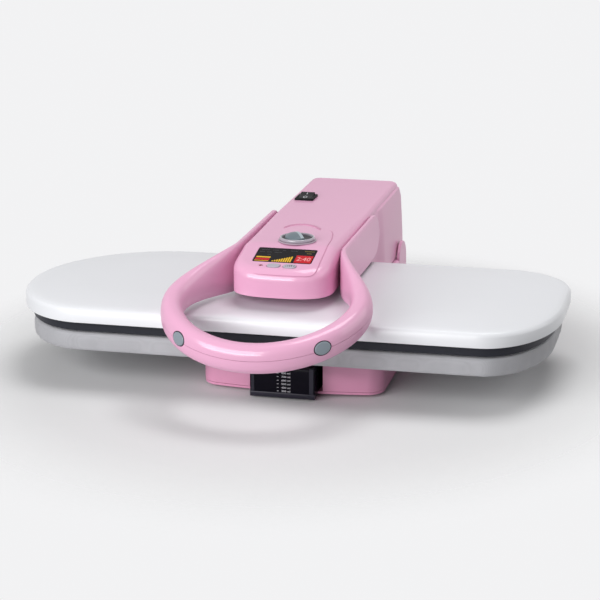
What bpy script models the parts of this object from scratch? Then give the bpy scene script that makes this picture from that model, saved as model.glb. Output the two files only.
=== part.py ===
"""Steam ironing press: a long padded bed on a low base, and a heated plate carried by a hinged head.

Metres, +Z up, +X to the right along the plate, +Y to the rear. The floor is z = 0.
"""
import bpy
import bmesh
import math
from mathutils import Matrix, Vector

# Whole machine: the plate's shell, with the handle's loop before it and the hood behind it
SHELL_LENGTH = 0.652
SHELL_DEPTH = 0.298
LOOP_REACH = 0.120
HOOD_REACH = 0.190
MACHINE_DEPTH = SHELL_DEPTH + LOOP_REACH + HOOD_REACH
SEAM_GAP = 0.0003
FIT_GAP = 0.0005
OVERRUN = 0.004
REAR_Y = MACHINE_DEPTH / 2
SHELL_FRONT_Y = LOOP_REACH - REAR_Y
SHELL_REAR_Y = SHELL_FRONT_Y + SHELL_DEPTH
PLATE_Y = SHELL_FRONT_Y + SHELL_DEPTH / 2
ARM_X = 0.006

# Heights, from the floor up
FOOT_HEIGHT = 0.0040
FLOOR_PLATE_THICKNESS = 0.0027
BED_BOTTOM_Z = 0.0470
BED_HEIGHT = 0.0222
PRESS_GAP = 0.0007
RIM_HEIGHT = 0.0119
HEAT_FACE_DROP = 0.0007
SHELL_HEIGHT = 0.0222
HEAD_CLEARANCE = 0.0140
HEAD_HEIGHT = 0.0460

# Pressing plate and bed, seen from above
REAR_RIGHT_SHARES = (0.1227, 0.2852)
REAR_LEFT_SHARES = (0.2531, 0.5436)
FRONT_LEFT_SHARES = (0.1534, 0.4396)
FRONT_RIGHT_SHARES = (0.1273, 0.4698)
SIDE_BOW = 0.001
SHELL_WALL = 0.0025
SHELL_CROWN_SHARES = ((0.0, 0.417), (0.071, 0.294), (0.2, 0.208), (0.625, 0.125), (1.8, 0.045), (3.0, 0.0))
SHELL_INSIDE_SHARES = ((1.0, 0.1), (0.2, 0.25), (0.0, 0.4))
RIM_INSET = 0.0090
RIM_WALL = 0.0040
HEAT_PLATE_THICKNESS = 0.0070
COVER_THICKNESS = 0.0015
PAN_HEIGHT = 0.0055
PAN_WALL = 0.0012
BED_CROWN_SHARES = ((0.0, 0.25), (0.083, 0.111), (0.25, 0.042), (1.0, 0.0))
HEM_PULL_SHARE = 0.025

# Steam chamber, heater and steam holes
CHAMBER_LENGTH = 0.200
CHAMBER_DEPTH = 0.112
CHAMBER_HEIGHT = 0.0145
CHAMBER_CORNER = 0.030
ELEMENT_RADIUS = 0.0038
ELEMENT_MARGIN = 0.026
STEAM_HOLE_RADIUS = 0.0022
STEAM_HOLE_PITCH_X = 0.030
STEAM_HOLE_PITCH_Y = 0.024
STEAM_HOLE_COLUMNS = 7
STEAM_HOLE_ROWS = 4
CUTOUT_RADIUS = 0.0085
CUTOUT_HEIGHT = 0.0090

# Plate post and the yoke that lifts it
POST_RADIUS = 0.014
POST_FLANGE_RADIUS = 0.034
POST_FLANGE_THICKNESS = 0.0030
POST_TOP_BELOW_HEAD = 0.0338
SHELL_HOLE_RADIUS = 0.020
YOKE_WIDTH = 0.012
YOKE_BAR_HEIGHT = 0.0095
PLATE_LIFT = 0.0025
HANDLE_TRAVEL = math.radians(35)

# Base
BASE_X = 0.01875
BASE_WIDTH = 0.2165
BASE_SET_BACK = 0.039
BASE_FRONT_Y = SHELL_FRONT_Y + BASE_SET_BACK
BASE_FRONT_BOW = 0.011
BASE_CORNER = 0.018
BASE_WALL = 0.0030
BASE_SHOULDER = 0.004
COLUMN_SET_BACK = 0.012
COLUMN_FRONT_Y = SHELL_REAR_Y + COLUMN_SET_BACK
COLUMN_HALF_WIDTH = 0.073
COLUMN_WALL = 0.0030
COLUMN_TOP_BELOW_HINGE = 0.0160
HEEL_TOP_BELOW_HINGE = 0.0470
CHEEK_THICKNESS = 0.0040
CHEEK_RADIUS = 0.026
CHEEK_BELOW_HINGE = 0.022
FOOT_RADIUS = 0.011
FOOT_INSET = 0.020
GLAND_RADIUS = 0.0085
GLAND_BORE = 0.0035
GLAND_LENGTH = 0.0060
GLAND_FLANGE = 0.0030

# Hinge of the head
HINGE_Z = 0.088
HINGE_FROM_REAR = 0.042
HINGE_SHAFT_RADIUS = 0.006
HINGE_BOSS_RADIUS = 0.0138
BRACKET_INNER_X = 0.038
BRACKET_THICKNESS = 0.004
HEAD_TRAVEL = math.radians(50)
SPRING_WIRE_RADIUS = 0.0015
SPRING_COIL_RADIUS = 0.0105
SPRING_PITCH = 0.0050
SPRING_TURNS = 7
SPRING_STEPS = 12

# Head
HEAD_WIDTH = 0.118
HEAD_SET_BACK = 0.029
HEAD_FRONT_Y = SHELL_FRONT_Y + HEAD_SET_BACK
HEAD_NOSE_LENGTH = 0.045
HEAD_NOSE_POWER = 2.8
HEAD_NOSE_ROUND = 0.012
HEAD_WALL = 0.0025
HEAD_EDGE_ROUND = 0.0060
HEAD_EDGE_SHARES = ((0.0, 1.0), (0.12, 0.52), (0.42, 0.16), (1.0, 0.0))
HEAD_INNER_SHARE = 0.29
HEAD_MIDDLE_DROP = 0.018
MIDDLE_LEAN_SHARE = 0.6
THIRDS_SHARES = (0.0, 0.33, 0.67, 1.0)
NOSE_INSET_SHARE = 2.0
HEAD_REAR_CORNER = 0.013
PANEL_LENGTH = 0.077
PANEL_BREAK_Y = HEAD_FRONT_Y + PANEL_LENGTH
PANEL_TILT = math.radians(11)
HOOD_SET_BACK = 0.004
HOOD_FRONT_Y = SHELL_REAR_Y + HOOD_SET_BACK
HOOD_STEP = 0.002
HOOD_FLARE = 0.0085
HOOD_FLARE_LENGTH = 0.050
HOOD_BOTTOM_BELOW_HINGE = 0.0140
FRAME_HALF_WIDTH = 0.0325
FRAME_THICKNESS = 0.0025
FRAME_HEIGHT = 0.0230
FRAME_REAR_REACH = 0.066
UNDERSIDE_THICKNESS = 0.0020

# Control panel
DISPLAY_WIDTH = 0.070
DISPLAY_DEPTH = 0.039
DISPLAY_SET_BACK = 0.045
DISPLAY_Y = HEAD_FRONT_Y + DISPLAY_SET_BACK
DISPLAY_THICKNESS = 0.0030
KEY_WIDTH = 0.0155
KEY_DEPTH = 0.0095
KEY_HEIGHT = 0.0055
KEY_PROUD = 0.0018
KEY_SET_BACK = 0.0165
KEY_Y = HEAD_FRONT_Y + KEY_SET_BACK
KEY_LEFT_X = -0.007
KEY_RIGHT_X = 0.012
LAMP_X = -0.022
LAMP_RADIUS = 0.0022
KNOB_SET_BACK = 0.094
KNOB_Y = HEAD_FRONT_Y + KNOB_SET_BACK
KNOB_SET_RIGHT = 0.0032
KNOB_X = ARM_X + KNOB_SET_RIGHT
KNOB_RADIUS = 0.0211
KNOB_HEIGHT = 0.0062
KNOB_BAR_HEIGHT = 0.0026
KNOB_BAR_WIDTH = 0.0085
KNOB_BAR_SHARE = 0.86
KNOB_BAR_TURN = math.radians(115)
KNOB_SHAFT_RADIUS = 0.003
KNOB_RING_RADIUS = 0.0229
KNOB_RING_HEIGHT = 0.0014
ROCKER_X = -0.0385
ROCKER_SET_BACK = 0.052
ROCKER_Y = HOOD_FRONT_Y + ROCKER_SET_BACK
ROCKER_WIDTH = 0.0190
ROCKER_DEPTH = 0.0260
ROCKER_BEZEL = 0.0028
ROCKER_BODY_DEPTH = 0.0150
ROCKER_TILT = math.radians(9)
ROCKER_TOP_SHARES = ((-1.0, -0.6), (0.0, 0.15), (1.0, 1.4))
ROCKER_UNDER_SHARES = ((0.93, 0.167), (0.0, 0.333), (-0.93, 0.25))
BOARD_THICKNESS = 0.0016

# Handle
PIVOT_FROM_SHELL_REAR = 0.020
PIVOT_Y = SHELL_REAR_Y - PIVOT_FROM_SHELL_REAR
PIVOT_BELOW_HEAD_TOP = 0.0278
SHAFT_RADIUS = 0.005
BUSH_RADIUS = 0.0090
BUSH_LENGTH = 0.0060
ECCENTRIC_RADIUS = 0.0100
ARM_CLEARANCE = 0.0012
ARM_THICKNESS = 0.0078
ARM_HEIGHT = 0.0560
ARM_SET_BACK = 0.109
ARM_FRONT_Y = SHELL_FRONT_Y + ARM_SET_BACK
ARM_TOP_BELOW_HEAD_TOP = 0.0010
LOOP_WIDTH = 0.242
LOOP_CENTRE_LEAD = 0.016
LOOP_CENTRE_Y = SHELL_FRONT_Y - LOOP_CENTRE_LEAD
GRIP_DEPTH = 0.026
GRIP_HEIGHT = 0.0335
GRIP_BOTTOM_Z = 0.0709
PARTING_SHARE = 0.0
ARM_PARTING_SHARE = -0.97
LOWER_START_SHARE = -0.90
GRIP_POWER = 2.3
ARM_POWER = 4.0
PARTING_GAP = 0.0004
BUTTON_RADIUS = 0.0072
BUTTON_STRETCH = 1.33
BUTTON_HEIGHT = 0.0055
BUTTON_PROUD = 0.0008
BUTTON_CROWN = 0.0010
BUTTON_CROWN_SHARES = ((0.93, 0.55), (0.7, 0.2), (0.35, 0.0))
BUTTON_TRAVEL = 0.0020
BUTTON_RING_WIDTH = 0.0008
BUTTON_RING_SINK = 0.0012
BUTTON_SPRING_ROOM = 0.0033
BUTTON_SOCKET_DEPTH = BUTTON_HEIGHT - BUTTON_PROUD + BUTTON_TRAVEL + BUTTON_SPRING_ROOM
BUTTON_X = 0.0742
BUTTON_LIFT = math.radians(5)

# Water tank and the parts that take its water
TANK_X = 0.015
TANK_WIDTH = 0.077
TANK_LENGTH_SHARE = 0.7011
TANK_LEAD = 0.019
TANK_FRONT_Y = BASE_FRONT_Y - TANK_LEAD
TANK_LENGTH = (COLUMN_FRONT_Y - BASE_FRONT_Y) * TANK_LENGTH_SHARE
TANK_FASCIA_LENGTH = 0.020
TANK_LIP_Z = 0.0022
TANK_WALL = 0.0020
TANK_SIDE_CLEARANCE = 0.0035
TANK_TOP_CLEARANCE = 0.0016
TUNNEL_WALL = 0.0015
FILLER_RADIUS = 0.013
FILLER_FROM_FRONT = 0.055
LID_RIM = 0.0025
LID_THICKNESS = 0.0010
VALVE_RADIUS = 0.0055
VALVE_LENGTH = 0.0100
VALVE_Z = 0.0170
PUMP_LENGTH = 0.062
PUMP_RADIUS_SHARE = 0.4434
PUMP_PLACE_SHARE = 0.45
PUMP_FOOT = 0.004
PUMP_NECK_SHARE = 0.6
PUMP_BODY_SHARE = 0.65
PUMP_SADDLE_SHARE = 0.7
TUBE_RADIUS = 0.0026
PUMP_BEND_SHARES = (0.1, 0.4, 0.6, 0.7, 0.2, 0.3, 0.5)
BED_RUN_SHARES = (0.6, 0.3, 0.9, 1.5, 1.2)
HEAD_RUN_SHARES = (0.8, 2.0, 1.5)
BOARD_LENGTH = 0.080
BOARD_DEPTH = 0.030

# Derived levels
FLOOR_PLATE_TOP_Z = FOOT_HEIGHT + FLOOR_PLATE_THICKNESS
HOUSING_BOTTOM_Z = FLOOR_PLATE_TOP_Z + SEAM_GAP
HOUSING_TOP_Z = BED_BOTTOM_Z - SEAM_GAP
BED_TOP_Z = BED_BOTTOM_Z + BED_HEIGHT
HEAT_FACE_Z = BED_TOP_Z + PRESS_GAP
RIM_BOTTOM_Z = HEAT_FACE_Z + HEAT_FACE_DROP
RIM_TOP_Z = RIM_BOTTOM_Z + RIM_HEIGHT
SHELL_BOTTOM_Z = RIM_TOP_Z + SEAM_GAP
SHELL_TOP_Z = SHELL_BOTTOM_Z + SHELL_HEIGHT
HEAD_BOTTOM_Z = SHELL_TOP_Z + HEAD_CLEARANCE
HEAD_TOP_Z = HEAD_BOTTOM_Z + HEAD_HEIGHT
HEAT_TOP_Z = HEAT_FACE_Z + HEAT_PLATE_THICKNESS
CHAMBER_BOTTOM_Z = HEAT_TOP_Z + SEAM_GAP
CHAMBER_TOP_Z = CHAMBER_BOTTOM_Z + CHAMBER_HEIGHT
HINGE_Y = REAR_Y - HINGE_FROM_REAR
HOOD_BOTTOM_Z = HINGE_Z - HOOD_BOTTOM_BELOW_HINGE
PIVOT_Z = HEAD_TOP_Z - PIVOT_BELOW_HEAD_TOP
POST_TOP_Z = HEAD_TOP_Z - POST_TOP_BELOW_HEAD
YOKE_BOTTOM_Z = POST_TOP_Z + SEAM_GAP
WEB_BOTTOM_Z = HEAD_BOTTOM_Z + UNDERSIDE_THICKNESS + FIT_GAP
WEB_TOP_Z = WEB_BOTTOM_Z + FRAME_THICKNESS
ECCENTRICITY = PLATE_LIFT / math.sin(HANDLE_TRAVEL)
HEAD_HALF = HEAD_WIDTH / 2
HINGE_POINT = Vector((ARM_X, HINGE_Y, HINGE_Z))
PIVOT_POINT = Vector((ARM_X, PIVOT_Y, PIVOT_Z))

# Facets round the circles and along the curves
CORNER_STEPS = 8
ROUND_SIDES = 20
SMALL_SIDES = 12
HOLE_SIDES = 8
TUBE_SIDES = 6
GRIP_SIDES = 14
SOFT_ANGLE = math.radians(35)

for old in list(bpy.data.objects):
    bpy.data.objects.remove(old, do_unlink=True)


def material(name, colour, roughness, metallic=0.0, alpha=1.0):
    """A Principled material, made once for each name."""
    found = bpy.data.materials.get(name)
    if found:
        return found
    made = bpy.data.materials.new(name)
    made.use_nodes = True
    shader = made.node_tree.nodes["Principled BSDF"]
    shader.inputs["Base Color"].default_value = (*colour, 1.0)
    shader.inputs["Roughness"].default_value = roughness
    shader.inputs["Metallic"].default_value = metallic
    shader.inputs["Alpha"].default_value = alpha
    return made


def pink_plastic(name):
    return material(name, (0.80, 0.46, 0.61), 0.28)


def pearl_plastic(name):
    return material(name, (0.86, 0.86, 0.88), 0.30)


def slate_plastic(name):
    return material(name, (0.045, 0.050, 0.065), 0.45)


def grey_plastic(name):
    return material(name, (0.33, 0.36, 0.42), 0.40)


def black_plastic(name):
    return material(name, (0.02, 0.02, 0.022), 0.30)


def steel(name):
    return material(name, (0.58, 0.58, 0.60), 0.35, 1.0)


def aluminium(name):
    return material(name, (0.77, 0.77, 0.79), 0.38, 1.0)


def rubber(name):
    return material(name, (0.03, 0.03, 0.03), 0.80)


def cloth(name):
    return material(name, (0.48, 0.48, 0.50), 0.75)


def board_green(name):
    return material(name, (0.05, 0.22, 0.10), 0.50)


def solid(name, points, faces, finish):
    """A closed mesh object with its faces turned out and its soft edges shaded smooth."""
    mesh = bpy.data.meshes.new(name)
    mesh.from_pydata([tuple(p) for p in points], [], faces)
    work = bmesh.new()
    work.from_mesh(mesh)
    bmesh.ops.recalc_face_normals(work, faces=work.faces)
    work.to_mesh(mesh)
    work.free()
    mesh.shade_smooth()
    mesh.set_sharp_from_angle(angle=SOFT_ANGLE)
    made = bpy.data.objects.new(name, mesh)
    made.data.materials.append(finish(name))
    bpy.context.scene.collection.objects.link(made)
    return made


def strip_faces(rings, count):
    """Quads between each ring of points and the next."""
    faces = []
    for ring in range(rings - 1):
        for i in range(count):
            j = (i + 1) % count
            faces.append((ring * count + i, ring * count + j, (ring + 1) * count + j,
                          (ring + 1) * count + i))
    return faces


def loft(name, rings, finish, mirrored_caps=False, endless=False):
    """A solid through rings of equal length. Its ends are closed by flat faces, or by strips
    between mirrored points, or the last ring joins the first."""
    count = len(rings[0])
    points = [p for ring in rings for p in ring]
    if endless:
        faces = strip_faces(len(rings) + 1, count)
        faces = [tuple(i % len(points) for i in face) for face in faces]
        return solid(name, points, faces, finish)
    faces = strip_faces(len(rings), count)
    last = (len(rings) - 1) * count
    for start in (0, last):
        if mirrored_caps:
            half = count // 2
            faces.append((start, start + 1, start + count - 1))
            for i in range(1, half - 2):
                faces.append((start + i, start + i + 1, start + count - i - 1, start + count - i))
            faces.append(tuple(start + half + i for i in range(-2, 3)))
        else:
            faces.append(tuple(start + i for i in range(count)))
    return solid(name, points, faces, finish)


def prism(name, outline, across, low, high, finish):
    """An outline of point pairs drawn along one axis. The pairs are the other two axes in order."""
    rings = []
    for level in (low, high):
        ring = []
        for a, b in outline:
            values = [a, b]
            values.insert(across, level)
            ring.append(tuple(values))
        rings.append(ring)
    return loft(name, rings, finish)


def box(name, low, high, finish):
    """A box between two corners."""
    outline = [(low[0], low[1]), (high[0], low[1]), (high[0], high[1]), (low[0], high[1])]
    return prism(name, outline, 2, low[2], high[2], finish)


def turned(name, profile, centre, direction, sides, finish):
    """A solid of revolution: radius and height pairs from one end of the axis to the other."""
    turn = Vector((0, 0, 1)).rotation_difference(Vector(direction)).to_matrix()
    rings = []
    for radius, height in profile:
        ring = []
        for i in range(sides):
            angle = 2 * math.pi * i / sides
            ring.append(Vector(centre) + turn @ Vector((radius * math.cos(angle), radius * math.sin(angle),
                                                        height)))
        rings.append(ring)
    return loft(name, rings, finish)


def rod(name, start, end, radius, sides, finish):
    """A plain cylinder between two points."""
    start = Vector(start)
    span = Vector(end) - start
    return turned(name, [(radius, 0), (radius, span.length)], start, span.normalized(), sides, finish)


def sleeve(name, start, end, radius, bore, sides, finish):
    """A tube with a bore between two points."""
    start = Vector(start)
    span = Vector(end) - start
    turn = Vector((0, 0, 1)).rotation_difference(span.normalized()).to_matrix()
    rings = []
    for size, height in ((bore, 0), (radius, 0), (radius, span.length), (bore, span.length)):
        ring = []
        for i in range(sides):
            angle = 2 * math.pi * i / sides
            ring.append(start + turn @ Vector((size * math.cos(angle), size * math.sin(angle), height)))
        rings.append(ring)
    return loft(name, rings, finish, endless=True)


def swept(name, path, section, finish):
    """A solid whose section, in across and up offsets, follows a path of points."""
    rings = []
    for i, point in enumerate(path):
        before = path[max(i - 1, 0)]
        after = path[min(i + 1, len(path) - 1)]
        along = (after - before).normalized()
        across = along.cross(Vector((0, 0, 1)))
        across = Vector((1, 0, 0)) if across.length < SEAM_GAP else across.normalized()
        upward = across.cross(along).normalized()
        rings.append([point + across * a + upward * b for a, b in section(i)])
    return loft(name, rings, finish)


def tube(name, path, radius, finish):
    """A round tube along a smooth curve, carried from point to point without twist."""
    rings = []
    across = None
    for i, point in enumerate(path):
        along = (path[min(i + 1, len(path) - 1)] - path[max(i - 1, 0)]).normalized()
        if across is None:
            across = along.orthogonal().normalized()
        across = (across - along * across.dot(along)).normalized()
        upward = along.cross(across)
        ring = []
        for k in range(TUBE_SIDES):
            angle = 2 * math.pi * k / TUBE_SIDES
            ring.append(point + (across * math.cos(angle) + upward * math.sin(angle)) * radius)
        rings.append(ring)
    return loft(name, rings, finish)


def smooth_path(stops, steps):
    """Points of a Catmull-Rom curve through the stops."""
    stops = [Vector(s) for s in stops]
    ends = [stops[0] * 2 - stops[1]] + stops + [stops[-1] * 2 - stops[-2]]
    points = []
    for i in range(1, len(ends) - 2):
        a, b, c, d = ends[i - 1:i + 3]
        for k in range(steps):
            t = k / steps
            points.append(0.5 * ((2 * b) + (c - a) * t + (2 * a - 5 * b + 4 * c - d) * t ** 2
                                 + (3 * b - a - 3 * c + d) * t ** 3))
    points.append(stops[-1])
    return points


def smooth_share(value):
    """An S-shaped rise from 0 to 1."""
    value = min(max(value, 0.0), 1.0)
    return value * value * (3 - 2 * value)


def combine(target, tool, operation):
    """Cut a tool out of a piece, or join it on. The tool stays in the file as a guide."""
    tool.hide_render = True
    tool.display_type = "WIRE"
    tool.parent = target
    step = target.modifiers.new(tool.name, "BOOLEAN")
    step.operation = operation
    step.solver = "EXACT"
    step.object = tool
    return target


def cut(target, *tools):
    for tool in tools:
        combine(target, tool, "DIFFERENCE")
    return target


def join(target, *tools):
    for tool in tools:
        combine(target, tool, "UNION")
    return target


def rounded(target, width, segments=2):
    """Round the hard edges of a piece."""
    step = target.modifiers.new("edge rounding", "BEVEL")
    step.width = width
    step.segments = segments
    step.limit_method = "ANGLE"
    step.angle_limit = SOFT_ANGLE
    return target


def carried_by(point, name, *pieces):
    """An empty on a joint's axis that carries the pieces of one moving body."""
    axis = bpy.data.objects.new(name, None)
    axis.location = point
    axis.empty_display_size = FOOT_RADIUS
    bpy.context.scene.collection.objects.link(axis)
    for piece in pieces:
        piece.parent = axis
        piece.matrix_parent_inverse = Matrix.Translation(-Vector(point))
    return axis


def plate_plan(inset):
    """The plate's outline: a blunt nose on the left, four round corners and faintly bowed sides."""
    half_x = SHELL_LENGTH / 2
    half_y = SHELL_DEPTH / 2 - SIDE_BOW
    corners = ((1, 1, REAR_RIGHT_SHARES), (-1, 1, REAR_LEFT_SHARES),
               (-1, -1, FRONT_LEFT_SHARES), (1, -1, FRONT_RIGHT_SHARES))
    points = []
    for quarter, (side_x, side_y, (share_x, share_y)) in enumerate(corners):
        round_x, round_y = SHELL_LENGTH * share_x, SHELL_DEPTH * share_y
        centre = (side_x * (half_x - round_x), side_y * (half_y - round_y))
        for i in range(CORNER_STEPS + 1):
            angle = math.pi / 2 * (quarter + i / CORNER_STEPS)
            points.append((centre[0] + (round_x - inset) * math.cos(angle),
                           centre[1] + (round_y - inset) * math.sin(angle)))
        if quarter in (0, 2):
            points.append((0.0, side_y * (half_y - inset)))
    bowed = []
    for x, y in points:
        bow = SIDE_BOW * (1 - (x / half_x) ** 2) * (1 if y > 0 else -1)
        full = min(abs(y) / (half_y - inset), 1.0) ** 2
        bowed.append((x, PLATE_Y + y + bow * full))
    return bowed


def plate_ring(inset, z):
    return [(x, y, z) for x, y in plate_plan(inset)]


def plate_hole(name, radius, low, high):
    """A round cutter on the post's axis."""
    return rod(name, (ARM_X, PLATE_Y, low), (ARM_X, PLATE_Y, high), radius, ROUND_SIDES, steel)


# Base

def base_outline(inset, rear_y):
    """The base seen from above: straight sides, a bowed front and round front corners."""
    half = BASE_WIDTH / 2 - inset
    corner = BASE_CORNER - inset
    side_front = BASE_FRONT_Y + BASE_FRONT_BOW + inset
    points = [(half, rear_y)]
    for i in range(CORNER_STEPS):
        angle = math.pi / 2 * i / (CORNER_STEPS - 1)
        points.append((half - corner + corner * math.cos(angle),
                       side_front + corner - corner * math.sin(angle)))
    for i in range(1, CORNER_STEPS):
        x = (half - corner) * (1 - i / CORNER_STEPS)
        points.append((x, side_front))
    points += [(0.0, side_front)] + [(-x, y) for x, y in reversed(points)]
    bowed = []
    for x, y in points:
        reach = max(0.0, 1 - (x / half) ** 2)
        near = max(0.0, 1 - (y - side_front) / corner) if y < side_front + corner else 0.0
        bowed.append((BASE_X + x, y - BASE_FRONT_BOW * reach * near))
    return bowed


def base_housing():
    """The moulded cover of the base, open below and cut for the tank at the front."""
    rear = COLUMN_FRONT_Y - SEAM_GAP

    def ring(inset, z):
        return [(x, y, z) for x, y in base_outline(inset, rear - inset)]

    housing = loft("base_housing", [
        ring(BASE_WALL, HOUSING_TOP_Z - BASE_WALL),
        ring(BASE_WALL, HOUSING_BOTTOM_Z),
        ring(0.0, HOUSING_BOTTOM_Z),
        ring(0.0, HOUSING_TOP_Z - BASE_SHOULDER),
        ring(BASE_SHOULDER / 4, HOUSING_TOP_Z - BASE_SHOULDER / 4),
        ring(BASE_SHOULDER, HOUSING_TOP_Z),
    ], pink_plastic)
    half = TANK_WIDTH / 2 + TANK_SIDE_CLEARANCE + TUNNEL_WALL + SEAM_GAP
    mouth = box("tank_mouth_cutter",
                (TANK_X - half, BASE_FRONT_Y - OVERRUN, HOUSING_BOTTOM_Z - OVERRUN),
                (TANK_X + half, BASE_FRONT_Y + BASE_FRONT_BOW + BASE_WALL + OVERRUN,
                 tunnel_top_z() + SEAM_GAP),
                pink_plastic)
    passage = box("tube_passage_cutter",
                  (ARM_X - BRACKET_INNER_X / 2, rear - BASE_WALL - OVERRUN, HOUSING_BOTTOM_Z + FIT_GAP),
                  (ARM_X + BRACKET_INNER_X / 2, rear + OVERRUN, HOUSING_TOP_Z - BASE_SHOULDER * 3),
                  pink_plastic)
    return cut(housing, mouth, passage)


def base_floor():
    """The flat bottom plate under the housing and the column, with a notch for the tank's lip."""
    rear = REAR_Y - GLAND_LENGTH
    outline = base_outline(SEAM_GAP, COLUMN_FRONT_Y)
    half = COLUMN_HALF_WIDTH - SEAM_GAP
    outline = [(ARM_X + half, rear), (ARM_X + half, COLUMN_FRONT_Y)] + outline
    outline += [(ARM_X - half, COLUMN_FRONT_Y), (ARM_X - half, rear)]
    return prism("base_floor", outline, 2, FOOT_HEIGHT, FLOOR_PLATE_TOP_Z, pink_plastic)


def feet():
    """Four rubber feet under the corners of the bottom plate."""
    front_y = BASE_FRONT_Y + BASE_FRONT_BOW + FOOT_INSET + BASE_CORNER / 2
    rear_y = REAR_Y - GLAND_LENGTH - FOOT_INSET
    side = BASE_WIDTH / 2 - FOOT_INSET
    rear_side = COLUMN_HALF_WIDTH - FOOT_INSET
    places = {"foot_front_left": (BASE_X - side, front_y), "foot_front_right": (BASE_X + side, front_y),
              "foot_rear_left": (ARM_X - rear_side, rear_y), "foot_rear_right": (ARM_X + rear_side, rear_y)}
    made = []
    for name, (x, y) in places.items():
        profile = [(FOOT_RADIUS - FOOT_HEIGHT / 4, 0), (FOOT_RADIUS, FOOT_HEIGHT / 4),
                   (FOOT_RADIUS, FOOT_HEIGHT - SEAM_GAP)]
        made.append(turned(name, profile, (x, y, 0), (0, 0, 1), SMALL_SIDES, rubber))
    return made


def column_profile(inset):
    """The column from the side: a flat shoulder, a ramp that clears the opening hood, and a low heel."""
    top = HINGE_Z - COLUMN_TOP_BELOW_HINGE - inset
    heel = HINGE_Z - HEEL_TOP_BELOW_HINGE - inset
    drop = top - heel
    ramp_start = HINGE_Y - HOOD_BOTTOM_BELOW_HINGE / 2 - inset
    ramp_end = ramp_start + drop / math.tan(HEAD_TRAVEL)
    front = COLUMN_FRONT_Y + inset
    rear = REAR_Y - GLAND_LENGTH - inset
    return [(front, HOUSING_BOTTOM_Z), (front, top), (ramp_start, top), (ramp_end, heel),
            (rear, heel), (rear, HOUSING_BOTTOM_Z)]


def hinge_cheeks():
    """Two round-topped cheeks that rise from the column beside the hood, over the hinge's ends."""
    centre_z = HINGE_Z - CHEEK_BELOW_HINGE
    low = HINGE_Z - HEEL_TOP_BELOW_HINGE - COLUMN_WALL
    outline = [(HINGE_Y + CHEEK_RADIUS, low)]
    for i in range(ROUND_SIDES // 2 + 1):
        angle = 2 * math.pi * i / ROUND_SIDES
        outline.append((HINGE_Y + CHEEK_RADIUS * math.cos(angle),
                        centre_z + CHEEK_RADIUS * math.sin(angle)))
    outline.append((HINGE_Y - CHEEK_RADIUS, low))
    outer = COLUMN_HALF_WIDTH + SEAM_GAP
    inner = COLUMN_HALF_WIDTH - CHEEK_THICKNESS
    made = [prism("cheek_left_guide", outline, 0, ARM_X - outer, ARM_X - inner, pink_plastic),
            prism("cheek_right_guide", outline, 0, ARM_X + inner, ARM_X + outer, pink_plastic)]
    for cheek in made:
        rounded(cheek, CHEEK_THICKNESS / 4)
    return made


def rear_column():
    """The hollow column behind the bed, slotted for the hinge brackets."""
    half = COLUMN_HALF_WIDTH
    column = prism("rear_column", column_profile(0.0), 0, ARM_X - half, ARM_X + half, pink_plastic)
    rounded(column, COLUMN_WALL, 3)
    inside = [(y, z if z > HOUSING_BOTTOM_Z else z - OVERRUN) for y, z in column_profile(COLUMN_WALL)]
    core = prism("column_core_cutter", inside, 0, ARM_X - half + COLUMN_WALL, ARM_X + half - COLUMN_WALL,
                 pink_plastic)
    passage = box("column_passage_cutter",
                  (ARM_X - BRACKET_INNER_X / 2, COLUMN_FRONT_Y - OVERRUN, HOUSING_BOTTOM_Z + FIT_GAP),
                  (ARM_X + BRACKET_INNER_X / 2, COLUMN_FRONT_Y + COLUMN_WALL + OVERRUN,
                   HOUSING_TOP_Z - BASE_SHOULDER * 3),
                  pink_plastic)
    gland_hole = rod("gland_hole_cutter", gland_centre() - Vector((0, GLAND_LENGTH * 2, 0)),
                     gland_centre() + Vector((0, OVERRUN, 0)), GLAND_RADIUS - GLAND_FLANGE + FIT_GAP,
                     SMALL_SIDES, steel)
    tube_hole = rod("riser_hole_cutter", (ARM_X, tube_riser_y(), HINGE_Z - COLUMN_TOP_BELOW_HINGE * 2),
                    (ARM_X, tube_riser_y(), HINGE_Z), TUBE_RADIUS + FIT_GAP, SMALL_SIDES, steel)
    cut(column, core, passage, gland_hole, tube_hole)
    for side in (-1, 1):
        name = "bracket_slot_cutter_left" if side < 0 else "bracket_slot_cutter_right"
        low, high = bracket_span(side)
        slot = prism(name, bracket_profile(FIT_GAP), 0, low - FIT_GAP, high + FIT_GAP, steel)
        cut(column, slot)
    return join(column, *hinge_cheeks())


def gland_centre():
    """The middle of the heel's rear face, where the supply cable would enter."""
    middle = (HOUSING_BOTTOM_Z + HINGE_Z - HEEL_TOP_BELOW_HINGE) / 2
    return Vector((ARM_X, REAR_Y - GLAND_LENGTH, middle))


def cord_gland():
    """The flanged cable inlet in the heel, with its bore."""
    centre = gland_centre()
    neck = sleeve("cord_gland", centre - Vector((0, COLUMN_WALL * 2, 0)),
                  centre + Vector((0, GLAND_LENGTH, 0)),
                  GLAND_RADIUS - GLAND_FLANGE, GLAND_BORE, SMALL_SIDES, black_plastic)
    flange = sleeve("gland_flange_guide", centre + Vector((0, SEAM_GAP, 0)),
                    centre + Vector((0, GLAND_FLANGE, 0)),
                    GLAND_RADIUS, GLAND_BORE + SEAM_GAP, SMALL_SIDES, black_plastic)
    return join(neck, flange)


def bracket_span(side):
    """The low and high X of one hinge bracket."""
    inner = ARM_X + side * BRACKET_INNER_X
    outer = ARM_X + side * (BRACKET_INNER_X + BRACKET_THICKNESS)
    return min(inner, outer), max(inner, outer)


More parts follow.
